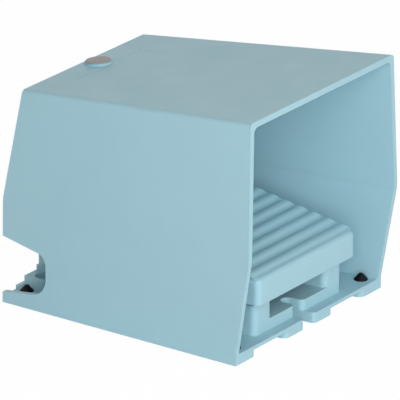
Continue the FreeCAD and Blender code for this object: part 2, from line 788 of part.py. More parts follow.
def open_slot(owner, name, half, edge, reach, mouth, low, deep):
    """Slot for a fixing bolt, open at the front edge with a rounded mouth and a round end."""
    made = outline(sketch(owner, name + "_view", "XY_Plane", low), [
        (-half - mouth * 2, edge - MARGIN),
        (half + mouth * 2, edge - MARGIN),
        (half + mouth * 2, edge),
        (half, edge, mouth),
        (half, edge + reach, half * 0.94),
        (-half, edge + reach, half * 0.94),
        (-half, edge, mouth),
        (-half - mouth * 2, edge),
    ])
    return feature(owner, "Pocket", name, made, deep, flip=True)


open_slot(hood, "floor_slot", slot_half, lip_y, slot_reach, slot_mouth, under - MARGIN, floor_level + MARGIN * 2)

# Cable opening at the lower rear, cut through both sides and the rear wall
notch_front = rear - notch_reach
feature(hood, "Pocket", "cable_opening", outline(sketch(hood, "cable_opening_view", "YZ_Plane"), [
    (rear + MARGIN, under + notch_sill - notch_sill_slope * MARGIN),
    (rear + MARGIN, under + notch_rise + notch_slope * MARGIN),
    (notch_front, under + notch_rise - notch_slope * notch_reach, 7.0),
    (notch_front, under + notch_sill + notch_sill_slope * notch_reach, 12.0),
]), both=True)

# Holes for the feet, the rear fixing bolts and the screws of the base
foot_spots = []
for side in (-1, 1):
    front_x = (wall_inside(foot_front_back) + hood_wall - foot_front_in) * side
    rear_x = (wall_inside(hood_depth - foot_rear_back) + hood_wall - foot_rear_in) * side
    foot_spots.append((front_x, front + foot_front_back))
    foot_spots.append((rear_x, rear - foot_rear_back))
fixing_y = base_end_y - fixing_back
fixing_spots = [(fixing_spacing / 2 * side, fixing_y) for side in (-1, 1)]
screw_spots = []
for side in (-1, 1):
    for step in (0, 1):
        screw_spots.append((base_screw_x / 2 * side, front + base_screw_back + base_screw_y * step))


def drill(owner, name, spots, radius, low, deep):
    made = sketch(owner, name + "_view", "XY_Plane", low)
    for across, along in spots:
        ring(made, across, along, radius)
    return feature(owner, "Pocket", name, made, deep, flip=True)


drill(hood, "foot_holes", foot_spots, foot_stem + screw_play, under - MARGIN, floor_level + MARGIN * 2)
for i, (across, along) in enumerate(fixing_spots):
    made = ring(sketch(hood, "fixing_pad_%d_view" % i, "XY_Plane", under), across, along, fixing_sink + 3)
    feature(hood, "Pad", "fixing_pad_%d" % i, made, pad_rise)
drill(hood, "fixing_holes", fixing_spots, fixing_radius, under - MARGIN, floor_level + MARGIN * 2)
drill(hood, "screw_holes", screw_spots, base_screw + screw_play, under - MARGIN, floor_level + MARGIN * 2)

# Lowered rear corners of the floor, shallow dip in the roof, and the hole for the cap's stem
for side in (-1, 1):
    cut_in = (side_at(hood_depth) - foot_inset - corner_cut_in) * side
    cut_flat = cut_in + corner_cut_flat * side
    cut_out = wall_inside(hood_depth) * side
    made = sketch(hood, "corner_cut_%d_view" % (side + 2), "XZ_Plane", -(rear + MARGIN))
    outline(made, [
        (cut_in, floor_top - corner_cut_deep),
        (cut_flat, floor_top - corner_cut_deep),
        (cut_out, floor_top),
        (cut_out, floor_top + MARGIN),
        (cut_in, floor_top + MARGIN),
    ][::side])
    feature(hood, "Pocket", "corner_cut_%d" % (side + 2), made, corner_cut_reach + MARGIN, flip=True)
dip_rear = hood_depth - dip_back
dip_front = dip_rear - dip_length
feature(hood, "Pocket", "roof_dip", outline(sketch(hood, "roof_dip_view", "YZ_Plane"), [
    (front + dip_front, roof_at(dip_front)),
    (front + dip_rear, roof_at(dip_rear) - dip_depth),
    (front + dip_rear, roof_at(dip_rear) + MARGIN),
    (front + dip_front, roof_at(dip_front) + MARGIN),
]), dip_width, both=True)
cap_y = rear - cap_back
cap_z = roof_at(hood_depth - cap_back)
cap_spot = (dim(0), cap_y, cap_z)
boss_view = tilted(hood, "cap_boss_view", "XY_Plane", (-1, 0, 0), roof_fall, cap_spot)
feature(hood, "Pad", "cap_boss", ring(boss_view, 0, 0, cap_boss), cap_boss_rise * 2, both=True)
hole_view = tilted(hood, "cap_hole_view", "XY_Plane", (-1, 0, 0), roof_fall, cap_spot)
feature(hood, "Pocket", "cap_hole", ring(hole_view, 0, 0, cap_stem + screw_play),
        (hood_wall + cap_boss_rise) * 2 + MARGIN, both=True)
keep(hood)

# Feet: a disc under each pad, a stem through the floor and a barbed head above it
feet = []
for i, (across, along) in enumerate(foot_spots):
    feet.append(stack("foot_%d" % (i + 1), (across, along, dim(0)), [
        (foot_radius * 0.9, foot_radius, foot_drop * 0.4),
        (foot_radius,) * 2 + (foot_drop * 0.6,),
        (foot_stem,) * 2 + (floor_level,),
        (foot_cone,) * 2 + (foot_cone_rise * 0.12,),
        (foot_cone, foot_cone * 0.16, foot_cone_rise * 0.88),
    ]))
keep(group("rubber_feet", feet))

# Plain round cap, seated on its boss on the sloping roof
cap = body("roof_cap")
cap_view = outline(sketch(cap, "roof_cap_view", "XZ_Plane"), [
    (0, -hood_wall),
    (cap_stem, -hood_wall),
    (cap_stem, cap_boss_rise),
    (cap_radius, cap_boss_rise),
    (cap_radius, cap_boss_rise + cap_thick, cap_thick * 0.6),
    (0, cap_boss_rise + cap_thick),
])
doc.recompute()
cap_turn = cap.newObject("PartDesign::Revolution", "roof_cap_turn")
cap_turn.Profile = cap_view
cap_turn.ReferenceAxis = (cap_view, ["V_Axis"])
cap_turn.Angle = 360
cap.Placement = FreeCAD.Placement(
    FreeCAD.Vector(), FreeCAD.Rotation(FreeCAD.Vector(-1, 0, 0), math.degrees(math.atan(roof_fall.value))))
bind(cap, "Placement.Base.y", cap_y)
bind(cap, "Placement.Base.z", cap_z)
cap.setExpression("Placement.Rotation.Angle", "atan(%s)" % roof_fall.formula)
keep(cap)

# Switch base: slab with fixing ears, two front legs, contact room and rear cable entries
base = body("base_housing")
half_base = base_width / 2
half_ear = ear_width / 2
half_tail = tail_width / 2
slab_view = outline(sketch(base, "slab_view", "XY_Plane", floor_top), [
    (-half_base, base_y, base_round),
    (half_base, base_y, base_round),
    (half_base, base_neck_y - half_ear + half_base),
    (half_ear, base_neck_y),
    (half_ear, base_end_y, ear_round),
    (-half_ear, base_end_y, ear_round),
    (-half_ear, base_neck_y),
    (-half_base, base_neck_y - half_ear + half_base),
])
feature(base, "Pad", "slab", slab_view, base_slab)
wall_view = outline(sketch(base, "wall_view", "XY_Plane", slab_top - base_slab / 2), [
    (-half_base, base_y, base_round),
    (half_base, base_y, base_round),
    (half_base, base_neck_y),
    (half_tail, base_neck_y),
    (half_tail, base_end_y, tail_round),
    (-half_tail, base_end_y, tail_round),
    (-half_tail, base_neck_y),
    (-half_base, base_neck_y),
])
feature(base, "Pad", "walls", wall_view, rim_z - slab_top + base_slab / 2)
tail_foot_view = box_outline(sketch(base, "tail_foot_view", "XY_Plane", slab_top - 1), -half_tail,
                             base_end_y - base_tail / 2, half_tail, base_end_y, ear_round)
feature(base, "Pad", "tail_foot", tail_foot_view, tail_foot + 1)
step_end = base_y + room_front - 4
feature(base, "Pocket", "leg_tops", outline(sketch(base, "leg_tops_view", "YZ_Plane"), [
    (base_y - MARGIN, leg_z),
    (base_y + leg_flat, leg_z),
    (step_end, rim_z),
    (step_end, rim_z + MARGIN),
    (base_y - MARGIN, rim_z + MARGIN),
]), both=True)
bay = box_outline(sketch(base, "bay_view", "XY_Plane", slab_top), -bay_width / 2, base_y - MARGIN,
                  bay_width / 2, base_y + bay_reach, 5)
bay_cut = feature(base, "Pocket", "bay", bay, base_rim + MARGIN, flip=True)
fillet(base, "bay_mouth", bay_cut, upright_at([
    (-bay_width / 2, base_y),
    (bay_width / 2, base_y),
]), base_round)
open_slot(base, "front_slot", base_slot_width / 2, base_y, base_slot_reach, base_slot_mouth,
          floor_top - MARGIN, base_slab + MARGIN * 2)
room_half = room_width / 2
room_view = box_outline(sketch(base, "room_view", "XY_Plane", room_z), -room_half, room_y,
                        room_half, room_end_y, 3)
feature(base, "Pocket", "room", room_view, base_rim + MARGIN, flip=True)
earth_spot = (room_half - earth_in, room_end_y - earth_ahead, room_z + earth_rise)
earth_boss = ring(sketch(base, "earth_boss_view", "XY_Plane", room_z - 1), earth_spot[0], earth_spot[1],
                  case_screw * 2.6)
feature(base, "Pad", "earth_boss", earth_boss, earth_rise + 1)

# Hinge lugs rise from the side walls of the base
lug_face = half_base - lug_thick
for side, word in ((-1, "left"), (1, "right")):
    low_x = lug_face if side > 0 else -half_base
    lug = outline(sketch(base, word + "_lug_view", "YZ_Plane", low_x), [
        (hinge_y - lug_radius - 2, rim_z - MARGIN),
        (hinge_y + lug_radius, rim_z - MARGIN),
        (hinge_y + lug_radius, hinge_z + lug_radius, lug_radius * 0.9),
        (hinge_y - lug_radius, hinge_z + lug_radius, lug_radius * 0.9),
    ])
    feature(base, "Pad", word + "_lug", lug, lug_thick)
pin_bore = ring(sketch(base, "pin_bore_view", "YZ_Plane"), hinge_y, hinge_z, hinge_pin)
feature(base, "Pocket", "pin_bore", pin_bore, both=True)
entries = sketch(base, "entries_view", "XZ_Plane", -(base_end_y + MARGIN))
for side in (-1, 1):
    ring(entries, entry_spacing / 2 * side, floor_top + entry_rise, entry_radius)
feature(base, "Pocket", "entries", entries, rear_wall + MARGIN * 2, flip=True)
drill(base, "ear_holes", fixing_spots, fixing_radius, floor_top - MARGIN, base_slab + MARGIN * 2)
drill(base, "ear_seats", fixing_spots, fixing_sink, slab_top - fixing_sink_deep, base_slab)
drill(base, "screw_holes_below", screw_spots, base_screw + screw_play, floor_top - MARGIN,
      base_slab + MARGIN - 0.8)

# Lid screws stand in two rows along the rim
lid_screw_x = (half_tail + room_half) / 2
lid_rows = [lid_y + lid_screw_in, (lid_y + base_end_y) / 2, base_end_y - lid_screw_in]
lid_spots = [(lid_screw_x * side, row) for side in (-1, 1) for row in lid_rows]
case_lug_x = block_width / 2 + case_lug / 2
case_spots = [(case_lug_x * side, plunger_y) for side in (-1, 1)]
drill(base, "case_screw_holes", case_spots, case_screw + screw_play, room_z - room_floor + 0.5, base_slab)
drill(base, "earth_hole", [earth_spot[:2]], case_screw + screw_play, room_z, earth_rise * 2)
drill(base, "lid_screw_holes", lid_spots, lid_screw + screw_play, rim_z - lid_screw_long, lid_screw_long * 2)
keep(base)

# Gasket and lid close the contact room
gasket = body("lid_gasket")
gasket_view = sketch(gasket, "gasket_view", "XY_Plane", rim_z)
box_outline(gasket_view, -half_tail, lid_y, half_tail, base_end_y, tail_round)
box_outline(gasket_view, -room_half, room_y, room_half, room_end_y, 3)
for across, along in lid_spots:
    ring(gasket_view, across, along, lid_screw + screw_play)
feature(gasket, "Pad", "gasket_sheet", gasket_view, gasket_thick)
keep(gasket)

lid = body("room_lid")
lid_view = box_outline(sketch(lid, "lid_view", "XY_Plane", lid_under), -half_tail, lid_y,
                       half_tail, base_end_y, tail_round)
feature(lid, "Pad", "lid_plate", lid_view, lid_thick)
collar = ring(sketch(lid, "collar_view", "XY_Plane", lid_under), 0, plunger_y, collar_radius)
feature(lid, "Pad", "collar", collar, lid_thick + collar_rise)
rib_view = box_outline(sketch(lid, "lid_rib_view", "XY_Plane", lid_top - 0.5), -room_half + 4,
                       plunger_y + 14, room_half - 4, room_end_y - 6, 4)
feature(lid, "Pad", "lid_rib", rib_view, 1.3)
drill(lid, "plunger_bore", [(0, plunger_y)], plunger_radius + plunger_play, lid_under - MARGIN,
      lid_thick + collar_rise + MARGIN * 2)
drill(lid, "lid_holes", lid_spots, lid_screw + screw_play, lid_under - MARGIN, lid_thick + MARGIN * 2)
keep(lid)

lid_screws = []
for i, (across, along) in enumerate(lid_spots):
    lid_screws.append(socket_screw("lid_screw_%d" % (i + 1), (across, along, lid_top), lid_screw,
                                   lid_screw_long, lid_screw * 1.75, lid_screw * 1.2, "z"))
keep(group("lid_screws", lid_screws))

# Screws that hold the base to the hood's floor, heads in the recess below
base_screws = []
for i, (across, along) in enumerate(screw_spots):
    base_screws.append(socket_screw("base_screw_%d" % (i + 1), (across, along, floor_under), base_screw,
                                    floor_sheet + base_slab - 2, base_screw_head,
                                    base_screw_head_rise, "-z"))
keep(group("base_screws", base_screws))

# One cable entry is closed by a plug with a sealing ring; the other is free for a gland
entry_z = floor_top + entry_rise
plug_spot = (entry_spacing / 2, base_end_y, entry_z)
seal_thick = dim(1.2)
flange_thick = dim(3.0)
plug_blank = joined("plug_blank", [
    rod("plug_thread", plug_spot, entry_radius - screw_play, rear_wall, "y", -rear_wall + seal_thick),
    rod("plug_flange", plug_spot, entry_radius * 1.25, flange_thick, "y", seal_thick),
])
plug_key = hex_tool("plug_key", plug_spot, entry_radius * 0.5, flange_thick * 2, "y", 0)
keep(carved("blanking_plug", plug_blank, [plug_key]))
seal_ring = carved("plug_seal", rod("seal_disc", plug_spot, entry_radius * 1.22, seal_thick, "y"),
                   [rod("seal_bore", plug_spot, entry_radius - screw_play, seal_thick, "y")])
keep(seal_ring)

# Pedal: a cast tread with skirts on all sides, open below
pedal = body("pedal")
groove_front = floor_top + pedal_nose - rib_rise
tread_end_y = pedal_y + tread_length
tread_end_z = groove_front + pedal_slope * tread_length


def tread_at(along):
    """Height of the smooth surface between the ribs."""
    return groove_front + pedal_slope * (along - pedal_y)


pedal_view = outline(sketch(pedal, "pedal_view", "YZ_Plane"), [
    (pedal_y, floor_top + skirt_front),
    (pedal_end_y, floor_top + skirt_rear),
    (pedal_end_y, tread_end_z, 6),
    (tread_end_y, tread_end_z, 20),
    (pedal_y, groove_front, pedal_edge),
])
feature(pedal, "Pad", "pedal_block", pedal_view, pedal_width, both=True)
half_pedal = pedal_width / 2
rounded = fillet(pedal, "pedal_corners", pedal.Tip, upright_at([
    (-half_pedal, pedal_y),
    (half_pedal, pedal_y),
    (-half_pedal, pedal_end_y),
    (half_pedal, pedal_end_y),
]), pedal_corner)
rib = tilted(pedal, "rib_view", "YZ_Plane", (0, 0, 1), pedal_slope,
             (pedal_y + rib_first, tread_at(pedal_y + rib_first), dim(0)))
half_rib = rib_width / 2
half_crown = rib_crown / 2
outline(rib, [
    (-half_rib - rib_foot, -rib_rise / 2),
    (half_rib + rib_foot, -rib_rise / 2),
    (half_rib + rib_foot, 0),
    (half_rib, 0, rib_round),
    (half_crown, rib_rise, rib_round),
    (-half_crown, rib_rise, rib_round),
    (-half_rib, 0, rib_round),
    (-half_rib - rib_foot, 0),
])
rib_pad = feature(pedal, "Pad", "rib", rib, pedal_width - 0.6, both=True)
ribs = pedal.newObject("PartDesign::LinearPattern", "ribs")
ribs.Originals = [rib_pad]
ribs.Direction = (rib, ["H_Axis"])
ribs.Occurrences = RIB_COUNT
bind(ribs, "Length", rib_pitch * (RIB_COUNT - 1))
pedal.Tip = ribs
doc.recompute()

# The ribs fade out where both long sides of the tread are rounded
high_side = half_pedal + tread_round
low_side = half_pedal - tread_round - 0.5
low_z = -tread_round - 0.5
skin = 0.05
side_view = tilted(pedal, "tread_sides_view", "XZ_Plane", (1, 0, 0), pedal_slope,
                   (dim(0), groove_front + rib_rise, -pedal_y))
for side in (-1, 1):
    outline(side_view, [
        (low_side * side, skin),
        ((half_pedal + skin) * side, skin, tread_round),
        ((half_pedal + skin) * side, low_z),
        (high_side * side, low_z),
        (high_side * side, tread_round + rib_rise * 2),
        (low_side * side, tread_round + rib_rise * 2),
    ][::-side])
feature(pedal, "Pocket", "tread_sides", side_view, both=True)
inner_front = pedal_y + pedal_wall
inner_end = pedal_end_y - pedal_wall
cavity = outline(sketch(pedal, "pedal_cavity_view", "YZ_Plane"), [
    (inner_front, floor_top),
    (inner_end, floor_top),
    (inner_end, tread_end_z - pedal_wall, 4),
    (tread_end_y, tread_end_z - pedal_wall, 20),
    (inner_front, tread_at(inner_front) - pedal_wall),
])
feature(pedal, "Pocket", "pedal_cavity", cavity, pedal_width - pedal_wall * 2, both=True)
gate = box_outline(sketch(pedal, "tail_gate_view", "XZ_Plane", -(pedal_end_y + MARGIN)),
                   -tail_gate_width / 2, floor_top, tail_gate_width / 2, floor_top + tail_gate_rise)
feature(pedal, "Pocket", "tail_gate", gate, pedal_wall + MARGIN + 1, flip=True)

# Bosses inside the pedal for the return spring and the striker screw
spring_y = front + spring_back
for name, centre, low, reach in (
    ("spring_boss", spring_y, floor_top + spring_boss_rise, spring_cup),
    ("striker_boss", plunger_y, floor_top + striker_boss_rise, striker_boss),
):
    boss = outline(sketch(pedal, name + "_view", "YZ_Plane"), [
        (centre - reach, low),
        (centre + reach, low),
        (centre + reach, tread_at(centre + reach) - pedal_wall + 1),
        (centre - reach, tread_at(centre - reach) - pedal_wall + 1),
    ])
    feature(pedal, "Pad", name, boss, reach * 2, both=True)
inner_side = half_pedal - pedal_wall
lug_inner = half_base + lug_gap
for side, word in ((-1, "left"), (1, "right")):
    low_x = lug_inner if side > 0 else -(inner_side + 0.5)
    lug = ring(sketch(pedal, "pedal_%s_lug_view" % word, "YZ_Plane", low_x), hinge_y, hinge_z, lug_radius)
    feature(pedal, "Pad", "pedal_%s_lug" % word, lug, inner_side + 0.5 - lug_inner)
bush_bore = ring(sketch(pedal, "bush_bore_view", "YZ_Plane"), hinge_y, hinge_z,
                 hinge_pin + hinge_play + bush_wall)
feature(pedal, "Pocket", "bush_bore", bush_bore, both=True)
drill(pedal, "striker_bore", [(0, plunger_y)], striker_radius, floor_top + striker_boss_rise - MARGIN,
      tread_at(plunger_y) - pedal_wall - floor_top - striker_boss_rise + MARGIN + 1.5)
keep(pedal)

# Hinge pins pressed into the base, with bushes in the pedal and rings outside
bush_outer = hinge_pin + hinge_play + bush_wall
pins = []
bushes = []
clips = []
clip_at = half_pedal + bush_flange + seat_gap
pin_end = clip_at + clip_thick + 1.4
for side, word, axis in ((-1, "left", "-x"), (1, "right", "x")):
    spot = (dim(0), hinge_y, hinge_z)
    blank = stack(word + "_pin_blank", (lug_face * side, hinge_y, hinge_z), [
        (hinge_pin,) * 2 + (pin_end - lug_face - 0.6,),
        (hinge_pin, hinge_pin - 0.6, dim(0.6)),
    ], axis)
    groove = carved(word + "_groove", rod(word + "_groove_disc", spot, hinge_pin + 1, clip_thick, axis,
                                          clip_at),
                    [rod(word + "_groove_core", spot, hinge_pin - 0.6, clip_thick, axis,
                         clip_at)])
    pins.append(carved(word + "_pin", blank, [groove]))
    sleeve = joined(word + "_sleeve", [
        rod(word + "_sleeve_tube", spot, bush_outer, half_pedal - lug_inner, axis, lug_inner),
        rod(word + "_sleeve_flange", spot, bush_outer + 1.6, bush_flange, axis, half_pedal),
    ])
    bushes.append(carved(word + "_bush", sleeve, [
        rod(word + "_bush_bore", spot, hinge_pin + hinge_play, half_pedal, axis, lug_inner - 1)]))
    washer = rod(word + "_clip_disc", spot, clip_radius, clip_thick, axis, clip_at)
    clips.append(carved(word + "_clip", washer, [
        rod(word + "_clip_bore", spot, hinge_pin - 0.6, clip_thick, axis, clip_at),
        block(word + "_clip_gap", (
            (clip_at + clip_thick / 2) * side - clip_thick, hinge_y - hinge_pin * 0.6,
            hinge_z - clip_radius - 1),
            (clip_thick * 2, hinge_pin * 1.2, clip_radius + 1)),
    ]))
keep(group("hinge_pins", pins))
keep(group("hinge_bushes", bushes))
keep(group("retaining_rings", clips))

# Return spring between a seat on the base and the boss under the pedal
seat_spot = (dim(0), spring_y, slab_top)
keep(stack("spring_seat", seat_spot, [
    (spring_cup,) * 2 + (spring_cup_thick,),
    (spring_spigot,) * 2 + (spigot_rise * 0.77,),
    (spring_spigot, spring_spigot * 0.85, spigot_rise * 0.23),
]))
keep(coil("return_spring", seat_spot, spring_radius, spring_wire, slab_top + spring_cup_thick + 0.1,
          floor_top + spring_boss_rise - 0.1, spring_turns))

# Rubber stops on the legs
stops = []
for side in (-1, 1):
    spot = (buffer_spacing / 2 * side, front + buffer_back, leg_z)
    stops.append(stack("stop_%d" % (side + 2), spot, [
        (buffer_radius,) * 2 + (buffer_rise * 0.45,),
        (buffer_radius, buffer_radius * 0.5, buffer_rise * 0.55),
    ]))
keep(group("rubber_stops", stops))

# Striker screw with its lock nut, in the boss under the pedal
plunger_top_z = floor_top + plunger_top
striker_spot = (dim(0), plunger_y, plunger_top_z + seat_gap)
striker_long = tread_at(plunger_y) - pedal_wall + 1.4 - plunger_top_z - seat_gap - 0.8
keep(stack("striker_screw", striker_spot, [
    (striker_radius * 0.5, striker_radius, dim(0.8)),
    (striker_radius,) * 2 + (striker_long,),
]))
nut_spot = (dim(0), plunger_y, floor_top + striker_boss_rise - nut_rise)
keep(carved("striker_nut", hex_tool("nut_blank", nut_spot, striker_radius * 1.8, nut_rise),
            [rod("nut_bore", nut_spot, striker_radius, nut_rise)]))

# Plunger through the lid, with its bellows
block_z = room_z
block_top = block_z + block_rise
ceiling = block_top - block_wall
carrier_top = ceiling - carrier_drop
keep(joined("plunger", [
    rod("plunger_stem", (dim(0), plunger_y, carrier_top), plunger_radius,
        plunger_top_z - carrier_top - 0.5),
    rod("plunger_disc", (dim(0), plunger_y, plunger_top_z - plunger_head_thick), plunger_head,
        plunger_head_thick),
]))

boot = body("plunger_boot")
boot_low = lid_top
boot_high = plunger_top_z - plunger_head_thick
fold = (boot_high - boot_low) / 6
outer_folds = [(boot_neck, boot_low)]
inner_folds = [(boot_neck - boot_wall, boot_low)]
for i in range(1, 6):
    reach = boot_radius if i % 2 else boot_neck
    outer_folds.append((reach, boot_low + fold * i))
    inner_folds.append((reach - boot_wall, boot_low + fold * i))
outer_folds.append((boot_neck - 0.6, boot_high))
inner_folds.append((plunger_radius + 0.6, boot_high))
inner_folds.insert(-1, (boot_neck - boot_wall, boot_high - boot_wall))
inner_folds.insert(-1, (plunger_radius + 0.6, boot_high - boot_wall))
boot_view = outline(sketch(boot, "boot_view", "XZ_Plane"), outer_folds + inner_folds[::-1])
doc.recompute()
boot_turn = boot.newObject("PartDesign::Revolution", "boot_turn")
boot_turn.Profile = boot_view
boot_turn.ReferenceAxis = (boot_view, ["V_Axis"])
boot_turn.Angle = 360
bind(boot, "Placement.Base.y", plunger_y)
keep(boot)

# Contact block: case, carrier, two bridges, four fixed contacts and their screws
half_block = block_width / 2
block_y = plunger_y - block_length / 2
case = joined("case_blank", [
    block("case_outer", (-half_block, block_y, block_z), (block_width, block_length, block_rise)),
    block("case_lugs", (-half_block - case_lug, plunger_y - case_lug / 2, block_z),
          (block_width + case_lug * 2, case_lug, case_lug_thick)),
])
case_tools = [
    block("case_well", (-half_block + block_wall, block_y + block_wall, block_z + block_wall),
          (block_width - block_wall * 2, block_length - block_wall * 2, block_rise - block_wall * 2)),
    rod("stem_way", (dim(0), plunger_y, ceiling - 1), plunger_radius + seat_gap, block_wall + 2),
]
for i, (across, along) in enumerate(case_spots):
    case_tools.append(rod("case_hole_%d" % i, (across, along, block_z - 1), case_screw + screw_play,
                          case_lug_thick + 2))
contact_z = block_z + contact_rise
half_strip = contact_width / 2
inner_end_x = half_block - block_wall - 2.5
strip_long = half_block + contact_out - inner_end_x
strips = []
clamps = []
rows = [plunger_y + contact_row / 2 * side for side in (-1, 1)]
for i, row in enumerate(rows):
    for side in (-1, 1):
        tag = "%d_%d" % (i + 1, (side + 3) / 2)
        low_x = inner_end_x if side > 0 else -(half_block + contact_out)
        low = (low_x, row - half_strip, contact_z)
        clamp_x = (half_block + contact_out / 2) * side
        clamp_spot = (clamp_x, row, contact_z + contact_strip)
        strips.append(carved("strip_" + tag, block("strip_bar_" + tag, low,
                                                   (strip_long, contact_width, contact_strip)),
                             [rod("strip_hole_" + tag, (clamp_x, row, contact_z - 1), clamp_radius, dim(3))]))
        case_tools.append(block("slit_" + tag, low, (strip_long, contact_width, contact_strip)))
        screw = joined("clamp_blank_" + tag, [
            rod("clamp_shank_" + tag, clamp_spot, clamp_radius, contact_strip + 2, "-z"),
            rod("clamp_head_" + tag, clamp_spot, clamp_head, clamp_rise),
        ])
        slot_low = (clamp_x - clamp_head, row - clamp_slot / 2,
                    contact_z + contact_strip + clamp_rise - clamp_slot)
        clamps.append(carved("clamp_" + tag, screw, [
            block("clamp_slot_" + tag, slot_low, (clamp_head * 2, clamp_slot, clamp_slot * 2))]))
keep(carved("contact_case", case, case_tools))
keep(group("fixed_contacts", strips))
keep(group("terminal_screws", clamps))
case_screws = []
for i, (across, along) in enumerate(case_spots):
    case_screws.append(socket_screw("case_screw_%d" % (i + 1), (across, along, block_z + case_lug_thick),
                                    case_screw, case_lug_thick + case_bite, case_screw * 1.8,
                                    case_head_rise, "z"))
keep(group("case_screws", case_screws))

# The carrier hangs below the plunger and holds both bridges; a spring lifts it
carrier_z = carrier_top - carrier_rise
keep(carved("contact_carrier", block("carrier_block", (
    -carrier_width / 2, plunger_y - carrier_length / 2, carrier_z), (
        carrier_width, carrier_length, carrier_rise)), [
            rod("carrier_well", (dim(0), plunger_y, carrier_z), lift_radius + lift_wire + seat_gap * 1.5,
                lift_well)]))
bridges = []
bridge_half = half_block - block_wall - 0.6
for i, row in enumerate(rows):
    bridges.append(block("bridge_%d" % (i + 1), (-bridge_half, row - half_strip + 0.8,
                                                carrier_z - contact_strip),
                         (bridge_half * 2, contact_width - 1.6, contact_strip)))
keep(group("bridge_contacts", bridges))
well_floor = block_z + block_wall
keep(coil("contact_spring", (dim(0), plunger_y, well_floor), lift_radius, lift_wire, well_floor,
          carrier_z + lift_well, lift_turns))

# Earth terminal: a saddle washer and a screw on the boss of the base
saddle_low = (earth_spot[0] - saddle_width / 2, earth_spot[1] - saddle_width / 2, earth_spot[2])
keep(carved("earth_saddle", block("saddle_plate", saddle_low, (saddle_width, saddle_width, saddle_thick)), [
    rod("saddle_hole", (earth_spot[0], earth_spot[1], earth_spot[2] - 1), case_screw + screw_play,
        saddle_thick + 2)]))
keep(socket_screw("earth_screw", (earth_spot[0], earth_spot[1], earth_spot[2] + saddle_thick), case_screw,
                  earth_screw_long, case_screw * 1.8, case_head_rise, "z"))

# Check everything, then write one file for each node
doc.recompute()
faults = []
for thing in doc.Objects:
    if "Invalid" in thing.State or "Error" in thing.State:
        faults.append("%s: %s" % (thing.Label, thing.State))
for thing in NODES:
    if thing.Shape.isNull() or not thing.Shape.isValid():
        faults.append("%s has no valid shape" % thing.Label)
if faults:
    raise RuntimeError("; ".join(faults))
os.makedirs("parts", exist_ok=True)
for thing in NODES:
    thing.Shape.exportStep("parts/%s.step" % thing.Label)
    box = thing.Shape.BoundBox
    print("%-18s %2d solids %10.1f mm3  x %.1f..%.1f  y %.1f..%.1f  z %.1f..%.1f" % (
        thing.Label, len(thing.Shape.Solids), thing.Shape.Volume,
        box.XMin, box.XMax, box.YMin, box.YMax, box.ZMin, box.ZMax))
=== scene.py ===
# %% [markdown]
# The object is an industrial foot switch: a cast hood keeps falling things off a
# ribbed pedal, and only a foot can reach in from the front. The solid parts come
# from the CAD model as a fixed frame. This lesson dresses them: it gives every
# part a painted, rubber, steel, brass or moulded finish, rebuilds the soft rubber
# pieces and the springs with finer shapes, and sets up camera, floor and light.

import json
import math

import bmesh
import bpy
from mathutils import Matrix, Vector


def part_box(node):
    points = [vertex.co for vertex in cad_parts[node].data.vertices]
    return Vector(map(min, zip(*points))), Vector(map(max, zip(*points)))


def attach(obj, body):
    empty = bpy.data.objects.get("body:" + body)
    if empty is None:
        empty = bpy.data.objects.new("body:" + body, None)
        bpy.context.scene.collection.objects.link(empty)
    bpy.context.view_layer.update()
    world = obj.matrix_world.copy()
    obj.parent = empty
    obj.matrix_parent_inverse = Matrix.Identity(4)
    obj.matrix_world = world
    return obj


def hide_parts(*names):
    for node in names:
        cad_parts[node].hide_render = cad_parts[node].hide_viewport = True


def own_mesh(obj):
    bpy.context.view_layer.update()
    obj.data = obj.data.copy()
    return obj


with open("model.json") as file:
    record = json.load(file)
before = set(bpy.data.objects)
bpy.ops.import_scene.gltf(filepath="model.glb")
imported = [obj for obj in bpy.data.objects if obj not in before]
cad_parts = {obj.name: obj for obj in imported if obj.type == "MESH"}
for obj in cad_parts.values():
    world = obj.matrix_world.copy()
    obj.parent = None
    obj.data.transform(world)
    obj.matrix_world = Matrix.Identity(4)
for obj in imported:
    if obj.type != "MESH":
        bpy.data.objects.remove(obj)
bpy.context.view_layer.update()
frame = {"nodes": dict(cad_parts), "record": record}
nodes = frame["nodes"]
MM = 0.001

# %% [markdown]
# The camera comes first, because every finish is judged through it. A product
# photograph like this one is taken from a few metres away with a long lens, which
# keeps the upright edges nearly parallel. A camera close by could show the same
# faces, but its converging edges would never fit. So the camera is described by
# the point it looks at, two angles, a distance and a lens length.

# %% Camera
LOOK_AT = Vector((0.0, -0.0052, 0.0650))
AZIMUTH = math.radians(-56.579)
ELEVATION = math.radians(19.396)
DISTANCE = 3.717
LENS_MM = 573.5
SENSOR_MM = 36.0

toward_camera = Vector((
    math.sin(AZIMUTH) * math.cos(ELEVATION),
    -math.cos(AZIMUTH) * math.cos(ELEVATION),
    math.sin(ELEVATION),
))
camera_data = bpy.data.cameras.new("photo_camera")
camera_data.lens = LENS_MM
camera_data.sensor_width = SENSOR_MM
camera_data.clip_start = 0.1
camera_data.clip_end = 50.0
camera = bpy.data.objects.new("photo_camera", camera_data)
camera.location = LOOK_AT + toward_camera * DISTANCE
camera.rotation_mode = "QUATERNION"
camera.rotation_quaternion = (-toward_camera).to_track_quat("-Z", "Y")
bpy.context.scene.collection.objects.link(camera)
bpy.context.scene.camera = camera
print("camera at", [round(c, 3) for c in camera.location])

# %% [markdown]
# A finish is a small graph of shader nodes. Most of the finishes here share the
# same three ideas: the colour drifts a little from place to place, the roughness
# drifts with it, and a fine bump breaks up the light. A helper that lays out
# these three saves writing each graph by hand. The noise reads the object's own
# coordinates, which are metres here, so its scale is in lumps per metre.

# %% A helper for node graphs


